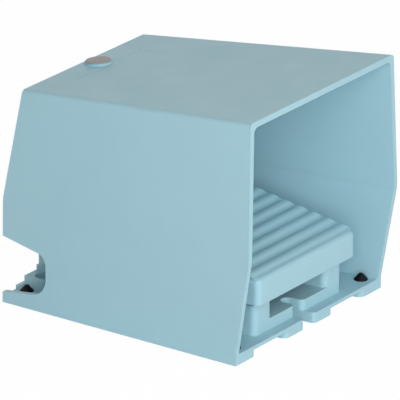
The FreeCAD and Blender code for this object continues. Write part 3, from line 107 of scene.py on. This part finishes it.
class Graph:
    """A material's node graph, with short calls for the nodes used here."""

    def __init__(self, name):
        self.material = bpy.data.materials.new(name)
        self.material.use_nodes = True
        self.tree = self.material.node_tree
        self.shader = self.tree.nodes["Principled BSDF"]
        self.place = self.add("ShaderNodeTexCoord").outputs["Object"]

    def add(self, kind, **settings):
        node = self.tree.nodes.new(kind)
        for key, value in settings.items():
            setattr(node, key, value)
        return node

    def join(self, source, target):
        self.tree.links.new(source, target)
        return target.node

    def noise(self, scale, detail=3.0, rough=0.5):
        node = self.add("ShaderNodeTexNoise")
        node.inputs["Scale"].default_value = scale
        node.inputs["Detail"].default_value = detail
        node.inputs["Roughness"].default_value = rough
        self.join(self.place, node.inputs["Vector"])
        return node.outputs["Fac"]

    def spread(self, source, low, high):
        """Turn a noise around 0.5 into values between low and high."""
        node = self.add("ShaderNodeMapRange")
        node.inputs["From Min"].default_value = 0.3
        node.inputs["From Max"].default_value = 0.7
        node.inputs["To Min"].default_value = low
        node.inputs["To Max"].default_value = high
        self.join(source, node.inputs["Value"])
        return node.outputs["Result"]

    def blend_colours(self, factor, first, second):
        node = self.add("ShaderNodeMix", data_type="RGBA")
        node.inputs["A"].default_value = (*first, 1.0)
        node.inputs["B"].default_value = (*second, 1.0)
        self.join(factor, node.inputs["Factor"])
        return node.outputs["Result"]

    def bump(self, source, height_mm, strength=1.0, after=None):
        node = self.add("ShaderNodeBump")
        node.inputs["Distance"].default_value = height_mm * MM
        node.inputs["Strength"].default_value = strength
        self.join(source, node.inputs["Height"])
        if after is not None:
            self.join(after, node.inputs["Normal"])
        self.join(node.outputs["Normal"], self.shader.inputs["Normal"])
        return node.outputs["Normal"]


def mixed(colour, factor):
    return tuple(channel * factor for channel in colour)


# %% [markdown]
# The hood, the base and the pedal are aluminium castings under one coat of light
# blue paint. Such paint is even, but not perfect: sprayed enamel dries with a
# faint orange peel, lumps about a millimetre across and some hundredths high, and
# the casting below adds a slow drift. The gloss is soft. Real wear could be
# painted in along edges, but this switch is new, so only the drift is kept.

# %% Paint
PAINT = (0.374, 0.607, 0.688)


def painted(name, colour, peel_mm=0.035):
    graph = Graph(name)
    drift = graph.spread(graph.noise(26.0, 4.0, 0.6), 0.0, 1.0)
    graph.join(graph.blend_colours(drift, mixed(colour, 0.985), mixed(colour, 1.012)),
               graph.shader.inputs["Base Color"])
    graph.join(graph.spread(graph.noise(60.0, 4.0), 0.40, 0.50), graph.shader.inputs["Roughness"])
    casting = graph.bump(graph.noise(95.0, 3.0), 0.03, 0.5)
    graph.bump(graph.noise(900.0, 2.0), peel_mm, 0.8, casting)
    graph.shader.inputs["Specular IOR Level"].default_value = 0.35
    return graph.material


blue_paint = painted("light_blue_paint", PAINT)
print("paint", PAINT)

# %% [markdown]
# The other finishes follow the same pattern with their own numbers. Rubber is
# nearly black, rough and finely grained. Zinc-plated steel and brass are metals,
# so their colour tints the reflection, and a streaky noise stands for the marks of
# the tool. Moulded plastic has the grain of its mould.

# %% Rubber, metals and plastics


def rubbery(name, colour):
    graph = Graph(name)
    drift = graph.spread(graph.noise(120.0, 4.0), 0.0, 1.0)
    graph.join(graph.blend_colours(drift, mixed(colour, 0.8), mixed(colour, 1.3)),
               graph.shader.inputs["Base Color"])
    graph.join(graph.spread(graph.noise(300.0), 0.34, 0.50), graph.shader.inputs["Roughness"])
    graph.bump(graph.noise(2600.0, 2.0), 0.04, 0.7)
    graph.shader.inputs["Specular IOR Level"].default_value = 0.12
    return graph.material


def metallic(name, colour, rough_low, rough_high, grain_mm=0.02):
    graph = Graph(name)
    graph.shader.inputs["Metallic"].default_value = 1.0
    drift = graph.spread(graph.noise(220.0, 5.0, 0.6), 0.0, 1.0)
    graph.join(graph.blend_colours(drift, mixed(colour, 0.88), mixed(colour, 1.05)),
               graph.shader.inputs["Base Color"])
    graph.join(graph.spread(graph.noise(700.0, 4.0), rough_low, rough_high),
               graph.shader.inputs["Roughness"])
    graph.bump(graph.noise(1500.0, 3.0), grain_mm, 0.5)
    return graph.material


def moulded(name, colour, rough_low=0.38, rough_high=0.5):
    graph = Graph(name)
    drift = graph.spread(graph.noise(90.0, 4.0), 0.0, 1.0)
    graph.join(graph.blend_colours(drift, mixed(colour, 0.94), mixed(colour, 1.05)),
               graph.shader.inputs["Base Color"])
    graph.join(graph.spread(graph.noise(400.0), rough_low, rough_high),
               graph.shader.inputs["Roughness"])
    graph.bump(graph.noise(2200.0, 2.0), 0.03, 0.6)
    return graph.material


FINISHES = {
    "blue_paint": blue_paint,
    "black_rubber": rubbery("black_rubber", (0.005, 0.005, 0.006)),
    "grey_cap": moulded("warm_grey_cap", (0.345, 0.330, 0.330), 0.45, 0.6),
    "grey_casting": metallic("bare_casting", (0.60, 0.61, 0.62), 0.42, 0.58, 0.05),
    "zinc_steel": metallic("zinc_plated_steel", (0.66, 0.67, 0.66), 0.24, 0.38),
    "bronze": metallic("sintered_bronze", (0.56, 0.36, 0.17), 0.38, 0.52, 0.04),
    "contact_brass": metallic("contact_brass", (0.80, 0.60, 0.26), 0.22, 0.34),
    "black_plastic": moulded("black_plastic", (0.022, 0.022, 0.024)),
    "grey_plastic": moulded("grey_plastic", (0.24, 0.25, 0.26)),
}
print("finishes:", len(FINISHES))

# %% [markdown]
# Every CAD part keeps the material slot that its record names. Putting the new
# finish on the part's own slots changes only how it looks, not its shape. A real
# casting has no knife edges either: paint and mould leave a rounding of half a
# millimetre, which catches a thin line of light. A bevel modifier adds that to the
# castings without touching their solids.

# %% Dress the CAD parts
slot_of = {}
for entry in frame["record"]["subparts"]:
    slot_of[entry["node"]] = entry["material_slot"]
for name, thing in nodes.items():
    finish = FINISHES[slot_of[name]]
    if not thing.material_slots:
        thing.data.materials.append(finish)
    for held in thing.material_slots:
        held.material = finish


def soften(name, width_mm, degrees=34):
    """Round the sharp edges of a casting for the eye."""
    bevel = nodes[name].modifiers.new("cast_edges", "BEVEL")
    bevel.width = width_mm * MM
    bevel.segments = 2
    bevel.limit_method = "ANGLE"
    bevel.angle_limit = math.radians(degrees)
    bevel.use_clamp_overlap = True


EDGE_MM = {"guard_hood": 0.55, "base_housing": 0.5, "pedal": 0.45, "room_lid": 0.4}
for name, width_mm in EDGE_MM.items():
    soften(name, width_mm)
print("dressed:", len(nodes), "softened:", sorted(EDGE_MM))

# %% [markdown]
# Most small pieces are turned: feet, stops, screws, bellows, plug. Each one starts
# as a profile, a row of points with a radius and a height in millimetres. Moulded
# and turned corners are never sharp, so a point may carry a rounding, and this
# helper puts an arc in its place. The arcs could be typed point by point too, but
# then a corner couldn't be changed with one number.

# %% Profiles with rounded corners


def rounded(points, steps=5):
    """Round the corners of a profile; a point is (radius, height) or (radius, height, rounding)."""
    made = []
    for i, point in enumerate(points):
        here = Vector(point[:2])
        if len(point) == 2:
            made.append(tuple(here))
            continue
        one = (Vector(points[i - 1][:2]) - here).normalized()
        two = (Vector(points[(i + 1) % len(points)][:2]) - here).normalized()
        half = one.angle(two) / 2
        reach = point[2] / math.tan(half)
        centre = here + (one + two).normalized() * (point[2] / math.sin(half))
        start = here + one * reach - centre
        turn = start.angle_signed(here + two * reach - centre)
        for step in range(steps + 1):
            arm = start.copy()
            arm.rotate(Matrix.Rotation(-turn * step / steps, 2))
            made.append(tuple(centre + arm))
    return made


print("a square of 2 with corners of 0.5 has", len(rounded(
    [(0, 0, 0.5), (2, 0, 0.5), (2, 2, 0.5), (0, 2, 0.5)])), "points")

# %% [markdown]
# A profile becomes a mesh when its rings are skinned around an axis. A ring can
# also have flat sides, which gives a hex socket or a nut from the same call.
# Blender's Screw modifier turns a profile as well, but it can't go from round to
# six sides on the way. Smooth shading with sharp edges above an angle keeps the
# arcs soft and the corners crisp.

# %% Rings around an axis
AROUND = 48
UP = (0, 0, 1)
DOWN = (0, 0, -1)
BACK = (0, 1, 0)


def ring_radius(radius, sides, angle):
    """Distance from the axis of a round ring, or of one with flat sides."""
    if not sides:
        return radius
    share = math.tau / sides
    return radius * math.cos(share / 2) / math.cos(angle % share - share / 2)


def link_piece(name, mesh_data, finish, degrees=32):
    mesh = bpy.data.meshes.new(name)
    mesh_data.normal_update()
    bmesh.ops.recalc_face_normals(mesh_data, faces=mesh_data.faces)
    mesh_data.to_mesh(mesh)
    mesh_data.free()
    mesh.polygons.foreach_set("use_smooth", [True] * len(mesh.polygons))
    mesh.set_sharp_from_angle(angle=math.radians(degrees))
    mesh.materials.append(FINISHES[finish])
    piece = bpy.data.objects.new(name, mesh)
    bpy.context.scene.collection.objects.link(piece)
    return piece


def turn_rings(mesh, rings, place, axis=UP, loop=False, around=AROUND):
    """Skin rings (radius, height, sides) in millimetres around an axis through a place in metres."""
    tilt = Vector(UP).rotation_difference(Vector(axis)).to_matrix().to_4x4()
    frame_of = Matrix.Translation(place) @ tilt
    skins = []
    for ring in rings:
        radius, height = ring[0] * MM, ring[1] * MM
        sides = ring[2] if len(ring) > 2 else 0
        if radius < 1e-7:
            skins.append([mesh.verts.new(frame_of @ Vector((0, 0, height)))])
            continue
        skin = []
        for i in range(around):
            angle = math.tau * i / around
            reach = ring_radius(radius, sides, angle)
            skin.append(mesh.verts.new(
                frame_of @ Vector((reach * math.cos(angle), reach * math.sin(angle), height))))
        skins.append(skin)
    pairs = list(zip(skins, skins[1:]))
    if loop:
        pairs.append((skins[-1], skins[0]))
    for one, two in pairs:
        for i in range(around):
            j = (i + 1) % around
            corners = [one[i % len(one)], one[j % len(one)], two[j % len(two)], two[i % len(two)]]
            corners = [c for k, c in enumerate(corners) if c not in corners[:k]]
            if len(corners) > 2:
                mesh.faces.new(corners)


print("hexagon: corner", ring_radius(1.0, 6, 0.0), "flat", round(ring_radius(1.0, 6, math.tau / 12), 3))

# %% [markdown]
# The solids already know where each piece stands. So the last helper takes a CAD
# part apart into its separate solids and gives a box for each of them. A new piece
# is then placed by the box of the solid that it stands in for, and no place has to
# be typed a second time.

# %% Places read from the solids


def islands(name):
    """Low and high corner of every separate solid of a CAD part, from left to right."""
    thing = nodes[name]
    mesh = bmesh.new()
    mesh.from_mesh(thing.data)
    mesh.transform(thing.matrix_world)
    bmesh.ops.remove_doubles(mesh, verts=mesh.verts, dist=2e-6)
    left = set(mesh.verts)
    found = []
    while left:
        todo = [left.pop()]
        spots = []
        while todo:
            vert = todo.pop()
            spots.append(vert.co.copy())
            for edge in vert.link_edges:
                other = edge.other_vert(vert)
                if other in left:
                    left.discard(other)
                    todo.append(other)
        found.append(tuple(Vector([pick(s[k] for s in spots) for k in range(3)]) for pick in (min, max)))
    mesh.free()
    return sorted(found, key=lambda box: tuple(round(c, 4) for c in box[0]))


def middle_of(box):
    return (box[0] + box[1]) / 2


print("feet found at", [[round(c, 4) for c in middle_of(box)] for box in islands("rubber_feet")])

# %% [markdown]
# A rubber foot is one moulding: a disc that the switch stands on, a thin stem
# through the floor, and a barbed head that is pulled through the hole and then
# holds it. Rubber swells around the edges of its hole, so the neck is a little
# fuller than the drilled stem, the head has a soft rim, and its point is blunt.

# %% Rubber feet
FLOOR_MM = 8.5
HEAD_MM = 12.6
foot_rings = rounded([
    (0.0, 0.25), (3.2, 0.25, 0.2), (3.7, 0.0, 0.2), (5.15, 0.0, 0.5), (5.8, 1.0, 0.6), (5.8, 1.98, 0.25),
    (2.65, 1.98), (2.6, 5.0), (2.7, FLOOR_MM), (4.1, FLOOR_MM, 0.15), (4.2, FLOOR_MM + 0.6, 0.35),
    (0.95, HEAD_MM, 0.6), (0.0, HEAD_MM),
])
foot_mesh = bmesh.new()
for box in islands("rubber_feet"):
    spot = middle_of(box)
    turn_rings(foot_mesh, foot_rings, (spot.x, spot.y, 0.0))
feet = link_piece("moulded_feet", foot_mesh, "black_rubber", 40)
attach(feet, "housing")
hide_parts("rubber_feet")
print("feet:", len(islands("rubber_feet")))

# %% [markdown]
# The round cap sits on a low boss of the roof and follows the roof's slope, so it
# is turned around a tilted axis. Its stem goes through the roof. Its top is very
# slightly crowned and its rim is rounded, as moulded plastic is; a flat disc would
# show one dead tone. Its heights count from the roof's surface.

# %% Roof cap
ROOF_FALL = 0.0814
CAP_SPOT = (0.0, 0.066, 0.13632)
CAP_TIP = -4.85
CAP_UNDER = 1.32
CAP_TOP = 2.2
roof_axis = Vector((0.0, ROOF_FALL, 1.0)).normalized()
cap_box = islands("roof_cap")[0]
cap_radius_mm = (cap_box[1].x - cap_box[0].x) / 2 / MM
cap_centre = Vector(CAP_SPOT)
cap_mesh = bmesh.new()
turn_rings(cap_mesh, rounded([
    (0.0, CAP_TIP), (2.5, CAP_TIP, 0.4), (2.95, CAP_TIP + 0.45), (2.95, CAP_UNDER),
    (cap_radius_mm - 0.1, CAP_UNDER, 0.1), (cap_radius_mm, CAP_TOP - 0.15, 0.55),
    (cap_radius_mm * 0.55, CAP_TOP - 0.03, 3.0), (0.0, CAP_TOP),
]), cap_centre, roof_axis, around=72)
cap = link_piece("crowned_cap", cap_mesh, "grey_cap", 40)
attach(cap, "housing")
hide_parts("roof_cap")
print("cap at", [round(c, 4) for c in cap_centre])

# %% [markdown]
# Both springs are wound from round wire. Their end turns lie almost flat and are
# ground level, so that the spring stands straight on its seat. A plain helix would
# touch its seat at one point only. The wire's centre line climbs slowly in the end
# turns and evenly between them.

# %% Springs
END_TURN_RISE = 1.64
GROUND_TO = 0.55


def wound(name, spot, radius_mm, wire_mm, low_mm, high_mm, turns, finish, around=14, per_turn=40):
    mesh = bmesh.new()
    steps = int(turns * per_turn)
    closed = 1.0 / turns
    end_rise = wire_mm * END_TURN_RISE
    bottom = low_mm + wire_mm * GROUND_TO
    top = high_mm - wire_mm * GROUND_TO

    def level(share):
        if share < closed:
            return bottom + end_rise * share / closed
        if share > 1 - closed:
            return top - end_rise * (1 - share) / closed
        run = (share - closed) / (1 - 2 * closed)
        return bottom + end_rise + (top - bottom - 2 * end_rise) * run

    skins = []
    for i in range(steps + 1):
        share = i / steps
        angle = math.tau * turns * share
        outward = Vector((math.cos(angle), math.sin(angle), 0))
        ahead = min(1.0, share + 0.5 / steps)
        behind = max(0.0, share - 0.5 / steps)
        climb = (level(ahead) - level(behind)) / ((ahead - behind) * math.tau * turns * radius_mm)
        along = Vector((-math.sin(angle), math.cos(angle), climb)).normalized()
        upward = outward.cross(along)
        centre = outward * radius_mm + Vector((0, 0, level(share)))
        skin = []
        for k in range(around):
            turn = math.tau * k / around
            point = centre + (outward * math.cos(turn) + upward * math.sin(turn)) * wire_mm
            point.z = min(max(point.z, low_mm), high_mm)
            skin.append(mesh.verts.new(Vector((spot.x, spot.y, 0)) + point * MM))
        skins.append(skin)
    for one, two in zip(skins, skins[1:]):
        for k in range(around):
            m = (k + 1) % around
            mesh.faces.new([one[k], one[m], two[m], two[k]])
    mesh.faces.new(skins[0])
    mesh.faces.new(skins[-1])
    return link_piece(name, mesh, finish, 50)


spring_spot = Vector((0.0, (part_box("spring_seat")[0][1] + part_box("spring_seat")[1][1]) / 2, 0.0))
return_spring = wound("wound_return_spring", spring_spot, radius_mm=8.5, wire_mm=0.95,
                      low_mm=17.8, high_mm=44.9, turns=6.5, finish="zinc_steel")
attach(return_spring, "housing")
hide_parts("return_spring")
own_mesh(return_spring)
plunger_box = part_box("plunger")
plunger_spot = Vector((0.0, (plunger_box[0][1] + plunger_box[1][1]) / 2, 0.0))
contact_spring = wound("wound_contact_spring", plunger_spot, radius_mm=2.4, wire_mm=0.35,
                       low_mm=14.5, high_mm=28.0, turns=8.5, finish="zinc_steel", around=10, per_turn=28)
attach(contact_spring, "housing")
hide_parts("contact_spring")
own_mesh(contact_spring)
print("springs:", return_spring.name, contact_spring.name)

# %% [markdown]
# The bellows keeps dust out of the plunger's guide. Each fold is a soft wave, not a
# sharp zigzag, because rubber can't be moulded to a sharp crease and would crack
# there. The wall is turned as one closed loop, outside and inside.

# %% Bellows
BOOT_LOW = 42.7
BOOT_HIGH = 50.3
FOLD_OUT = 7.6
FOLD_IN = 6.5
BOOT_WALL = 1.0
fold = (BOOT_HIGH - BOOT_LOW) / 6
outer = [(6.6, BOOT_LOW)]
inner = [(5.3, BOOT_LOW)]
for i in range(1, 6):
    reach = FOLD_OUT if i % 2 else FOLD_IN
    outer.append((reach, BOOT_LOW + fold * i, 0.4))
    inner.append((reach - BOOT_WALL, BOOT_LOW + fold * i, 0.25))
outer += [(5.7, BOOT_HIGH, 0.3)]
inner += [(5.0, BOOT_HIGH - 0.8, 0.2), (3.6, BOOT_HIGH - 0.8), (3.6, BOOT_HIGH)]
boot_mesh = bmesh.new()
turn_rings(boot_mesh, rounded(outer + inner[::-1], 4), plunger_spot, loop=True)
boot = link_piece("folded_bellows", boot_mesh, "black_rubber", 45)
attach(boot, "housing")
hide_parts("plunger_boot")
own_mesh(boot)
print("bellows folds: 3")

# %% [markdown]
# The stops on the legs take the pedal at the end of its travel. They are moulded
# domes with a step at the foot, where the mould closes.

# %% Rubber stops
stop_mesh = bmesh.new()
for box in islands("rubber_stops"):
    spot = middle_of(box)
    turn_rings(stop_mesh, rounded([
        (0.0, 0.0), (5.0, 0.0, 0.15), (5.0, 2.0, 0.3), (4.6, 2.15, 0.15), (2.5, 4.7, 1.1), (0.0, 4.7),
    ]), (spot.x, spot.y, box[0].z))
stops = link_piece("domed_stops", stop_mesh, "black_rubber", 45)
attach(stops, "housing")
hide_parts("rubber_stops")
print("stops:", len(islands("rubber_stops")))

# %% [markdown]
# Screws are what a hand looks for first. Each cap screw gets a chamfered rim, a
# hexagon socket with a sunk floor, and a thread under the head. The thread is cut as
# rings: at this size nobody can see that it doesn't climb, and rings stay closed
# and light. The head's rim catches the light that a square-edged stub wouldn't.

# %% Screws
PITCH_SHARE = 0.36
DEPTH_SHARE = 0.12


def thread_rings(radius, low, high, pitch, depth):
    """Ridges of a thread from a low to a high level."""
    count = max(1, round((high - low) / pitch))
    step = (high - low) / count
    made = []
    for i in range(count):
        made += [(radius - depth, low + step * i), (radius, low + step * (i + 0.5))]
    return made + [(radius - depth, high)]


def cap_screw(mesh, place, axis, shank, long, head, head_rise):
    """Cap screw with a hex socket; the place is under the head."""
    socket = head * 0.5
    rings = [(0.0, -long), (shank * 0.7, -long)]
    rings += thread_rings(shank, -long + 0.3, -0.4, shank * PITCH_SHARE, shank * DEPTH_SHARE)
    rings += rounded([(shank, 0.0), (head - 0.15, 0.0), (head, 0.15), (head, head_rise, head * 0.12)])
    rings += [(socket * 1.2, head_rise), (socket * 1.06, head_rise, 6), (socket, head_rise - 0.12, 6),
              (socket, head_rise * 0.45, 6), (0.0, head_rise * 0.3)]
    turn_rings(mesh, rings, place, axis)


def screw_set(name, node, axis, shank, long, head, head_rise, finish):
    mesh = bmesh.new()
    for box in islands(node):
        spot = middle_of(box)
        seat = box[1].z - head_rise * MM if axis == UP else box[0].z + head_rise * MM
        cap_screw(mesh, (spot.x, spot.y, seat), axis, shank, long, head, head_rise)
    piece = link_piece(name, mesh, finish, 30)
    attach(piece, "housing")
    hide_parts(node)
    return piece


screw_set("socket_lid_screws", "lid_screws", UP, 2.0, 9.0, 3.5, 2.4, "zinc_steel")
screw_set("socket_base_screws", "base_screws", DOWN, 2.5, 7.0, 4.5, 2.8, "zinc_steel")
screw_set("socket_case_screws", "case_screws", UP, 1.5, 5.5, 2.7, 2.4, "zinc_steel")
screw_set("socket_earth_screw", "earth_screw", UP, 1.5, 5.0, 2.7, 2.4, "zinc_steel")
print("screw sets: 4")

# %% [markdown]
# The striker screw is a pointed set screw that the lock nut holds. The nut is a
# hexagon with both faces chamfered, which a turning lathe leaves as shallow cones;
# rings of six sides between round ones give just that shape.

# %% Striker and nut
striker_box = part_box("striker_screw")
nut_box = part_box("striker_nut")
striker_mesh = bmesh.new()
striker_low = striker_box[0][2] / MM
striker_high = striker_box[1][2] / MM
turn_rings(striker_mesh, [(0.0, striker_low), (1.2, striker_low), (2.2, striker_low + 0.8)]
           + thread_rings(2.5, striker_low + 0.9, striker_high - 0.4, 0.8, 0.3)
           + [(2.0, striker_high), (0.0, striker_high)], plunger_spot)
striker = link_piece("threaded_striker", striker_mesh, "zinc_steel", 30)
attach(striker, "pedal")
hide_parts("striker_screw")
nut_mesh = bmesh.new()
nut_low = nut_box[0][2] / MM
nut_high = nut_box[1][2] / MM
turn_rings(nut_mesh, [
    (2.5, nut_low), (3.7, nut_low), (4.35, nut_low + 0.12, 6), (4.5, nut_low + 0.3, 6),
    (4.5, nut_high - 0.3, 6), (4.35, nut_high - 0.12, 6), (3.7, nut_high), (2.5, nut_high),
], plunger_spot, loop=True)
nut = link_piece("chamfered_nut", nut_mesh, "zinc_steel", 25)
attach(nut, "pedal")
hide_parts("striker_nut")
print("striker from", round(striker_low, 1), "to", round(striker_high, 1))

# %% [markdown]
# One cable entry is closed by a plug with a hex socket and a rubber ring. Both are
# turned around the entry's axis, which points to the rear. The ring is a closed
# loop: its profile comes back to its first point, so it needs no end faces.

# %% Plug and seal
plug_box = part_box("blanking_plug")
entry_spot = Vector(((plug_box[0][0] + plug_box[1][0]) / 2, plug_box[1][1] - 4.2 * MM,
                     (plug_box[0][2] + plug_box[1][2]) / 2))
plug_mesh = bmesh.new()
plug_rings = [(0.0, -6.8), (8.9, -6.8)] + thread_rings(9.8, -6.4, 0.9, 1.4, 0.7)
plug_rings += rounded([(9.6, 1.2), (12.2, 1.2), (12.5, 1.5), (12.5, 4.2, 0.9)])
plug_rings += [(6.2, 4.2), (5.4, 4.2, 6), (5.0, 3.9, 6), (5.0, 0.3, 6), (0.0, 0.1)]
turn_rings(plug_mesh, plug_rings, entry_spot, BACK, around=72)
plug = link_piece("socket_plug", plug_mesh, "black_plastic", 30)
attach(plug, "housing")
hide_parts("blanking_plug")
seal_mesh = bmesh.new()
turn_rings(seal_mesh, rounded([
    (9.86, 0.0), (12.2, 0.0, 0.5), (12.2, 1.2, 0.5), (9.86, 1.2),
]), entry_spot, BACK, loop=True, around=72)
seal = link_piece("rounded_seal", seal_mesh, "black_rubber", 40)
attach(seal, "housing")
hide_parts("plug_seal")
print("plug at", [round(c, 4) for c in entry_spot])

# %% [markdown]
# The other entry is left open for a gland, so its thread can be seen. It's a thin
# sleeve whose inner wall rises and falls with the depth and with the turn at once,
# and that makes the ridges really climb. Rings like those on the screws would show
# here, because the eye is close to the first turn.

# %% Open thread
PITCH_MM = 1.5
THREAD_DEEP = 8.0
THREAD_STEPS = 40
THREAD_AROUND = 72
RIDGE_RADIUS = 9.35
RIDGE_DEPTH = 0.6
SLEEVE_RADIUS = 10.0
thread_mesh = bmesh.new()
inner_skin = []
outer_skin = []
for i in range(THREAD_STEPS + 1):
    depth = -THREAD_DEEP * i / THREAD_STEPS
    inner_ring = []
    outer_ring = []
    for k in range(THREAD_AROUND):
        angle = math.tau * k / THREAD_AROUND
        wave = abs((depth / PITCH_MM + k / THREAD_AROUND) % 1.0 - 0.5) * 2
        for reach, held in ((RIDGE_RADIUS + RIDGE_DEPTH * wave, inner_ring), (SLEEVE_RADIUS, outer_ring)):
            held.append(thread_mesh.verts.new(Vector((
                -entry_spot.x + reach * MM * math.cos(angle),
                entry_spot.y + depth * MM,
                entry_spot.z + reach * MM * math.sin(angle)))))
    inner_skin.append(inner_ring)
    outer_skin.append(outer_ring)
for skin in (inner_skin, outer_skin):
    for one, two in zip(skin, skin[1:]):
        for k in range(THREAD_AROUND):
            m = (k + 1) % THREAD_AROUND
            thread_mesh.faces.new([one[k], one[m], two[m], two[k]])
for end in (0, -1):
    for k in range(THREAD_AROUND):
        m = (k + 1) % THREAD_AROUND
        thread_mesh.faces.new([
            inner_skin[end][k], inner_skin[end][m], outer_skin[end][m], outer_skin[end][k]])
entry_thread = link_piece("entry_thread", thread_mesh, "grey_casting", 40)
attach(entry_thread, "housing")
print("turns of open thread:", round(THREAD_DEEP / PITCH_MM, 1))

# %% [markdown]
# The switch stands on a pale floor with nothing behind it. A white background must
# not come from more light on the object, which would bleach the paint. So the floor
# and the world show plain white only to the rays that look at them: camera rays,
# and the rays that a glossy or clear surface sends on. Every other ray meets a
# pale floor and a soft grey sky, which do the lighting.

# %% Rays that look at the backdrop


def looking_rays(tree):
    """1 for the rays that show the backdrop itself, 0 for those that only light."""
    path = tree.nodes.new("ShaderNodeLightPath")
    total = path.outputs["Is Camera Ray"]
    for kind in ("Is Glossy Ray", "Is Transmission Ray"):
        either = tree.nodes.new("ShaderNodeMath")
        either.operation = "MAXIMUM"
        tree.links.new(total, either.inputs[0])
        tree.links.new(path.outputs[kind], either.inputs[1])
        total = either.outputs["Value"]
    return total


print("looking rays: camera, glossy, transmission")

# %% [markdown]
# The floor is a big plane that reaches past the picture on all sides. It is shown
# almost fully white, and the little that is left of its own shading keeps the
# switch's shadow. Its real colour is pale, so it throws light up under the pedal
# and onto the lower walls, as a white table does.

# %% Floor
FLOOR_SHOW = 0.985
REACH = 30.0
floor_mesh = bpy.data.meshes.new("floor")
floor_mesh.from_pydata(
    [(-REACH, -REACH, 0), (REACH, -REACH, 0), (REACH, REACH, 0), (-REACH, REACH, 0)], [], [(0, 1, 2, 3)])
floor = bpy.data.objects.new("floor", floor_mesh)
bpy.context.scene.collection.objects.link(floor)

floor_graph = Graph("pale_floor")
floor_graph.shader.inputs["Roughness"].default_value = 0.9
floor_graph.shader.inputs["Specular IOR Level"].default_value = 0.1
pale = floor_graph.spread(floor_graph.noise(3.0), 0.0, 1.0)
floor_graph.join(floor_graph.blend_colours(pale, (0.84, 0.85, 0.86), (0.88, 0.89, 0.90)),
                 floor_graph.shader.inputs["Base Color"])
white = floor_graph.add("ShaderNodeEmission")
white.inputs["Strength"].default_value = 1.0
share = floor_graph.add("ShaderNodeMath", operation="MULTIPLY")
share.inputs[1].default_value = FLOOR_SHOW
floor_graph.join(looking_rays(floor_graph.tree), share.inputs[0])
floor_mix = floor_graph.add("ShaderNodeMixShader")
floor_graph.join(share.outputs["Value"], floor_mix.inputs["Fac"])
floor_graph.join(floor_graph.shader.outputs["BSDF"], floor_mix.inputs[1])
floor_graph.join(white.outputs["Emission"], floor_mix.inputs[2])
output = floor_graph.tree.nodes["Material Output"]
floor_graph.join(floor_mix.outputs["Shader"], output.inputs["Surface"])
floor_mesh.materials.append(floor_graph.material)
print("floor shown white", FLOOR_SHOW)

# %% [markdown]
# The world is the sky around the table. Its light reaches every side of the switch
# evenly, so no side is black in any view. A picture of a studio could light it as
# well, but one plain value is enough for matt paint.

# %% World
WORLD_LIGHT = 0.33
world = bpy.data.worlds.new("studio")
world.use_nodes = True
bpy.context.scene.world = world
sky = world.node_tree
background = sky.nodes["Background"]
level = sky.nodes.new("ShaderNodeMapRange")
level.inputs["To Min"].default_value = WORLD_LIGHT
level.inputs["To Max"].default_value = 1.0
sky.links.new(looking_rays(sky), level.inputs["Value"])
sky.links.new(level.outputs["Result"], background.inputs["Strength"])
background.inputs["Color"].default_value = (1.0, 1.0, 1.0, 1.0)
print("world light", WORLD_LIGHT)

# %% [markdown]
# Soft studio light comes from large panels. A big panel close by gives soft edges
# to every shadow; a small one would draw the ribs too hard. Most of the light here
# comes from the even sky, as in a light tent, and the panels only shape it. The
# rear one stays low and out of the reflections, so that it lights the far sides
# without a glare on the roof.

# %% Lamps
MIDDLE = (0, 0, 0.07)


def panel(name, place, width, watts):
    """Square panel, turned to the middle of the switch."""
    data = bpy.data.lights.new(name, "AREA")
    data.shape = "SQUARE"
    data.size = width
    data.energy = watts
    lamp = bpy.data.objects.new(name, data)
    lamp.location = place
    lamp.rotation_mode = "QUATERNION"
    lamp.rotation_quaternion = (Vector(MIDDLE) - Vector(place)).to_track_quat("-Z", "Y")
    bpy.context.scene.collection.objects.link(lamp)
    return lamp


PANELS = [
    ("front_left_panel", (-0.85, -1.05, 0.5), 1.3, 16.0),
    ("left_panel", (-1.4, -1.0, 0.45), 1.0, 2.8),
    ("front_panel", (0.4, -1.6, 0.8), 1.0, 1.2),
    ("rear_right_panel", (1.5, 1.2, 0.4), 1.2, 9.0),
]
for name, place, width, watts in PANELS:
    lamp = panel(name, place, width, watts)
    lamp.visible_glossy = name != "rear_right_panel"
print("panels:", len(PANELS))

# %% [markdown]
# The picture is shown with the Standard view, so a colour renders as it is
# written.

# %% Finish
bpy.context.scene.view_settings.view_transform = "Standard"
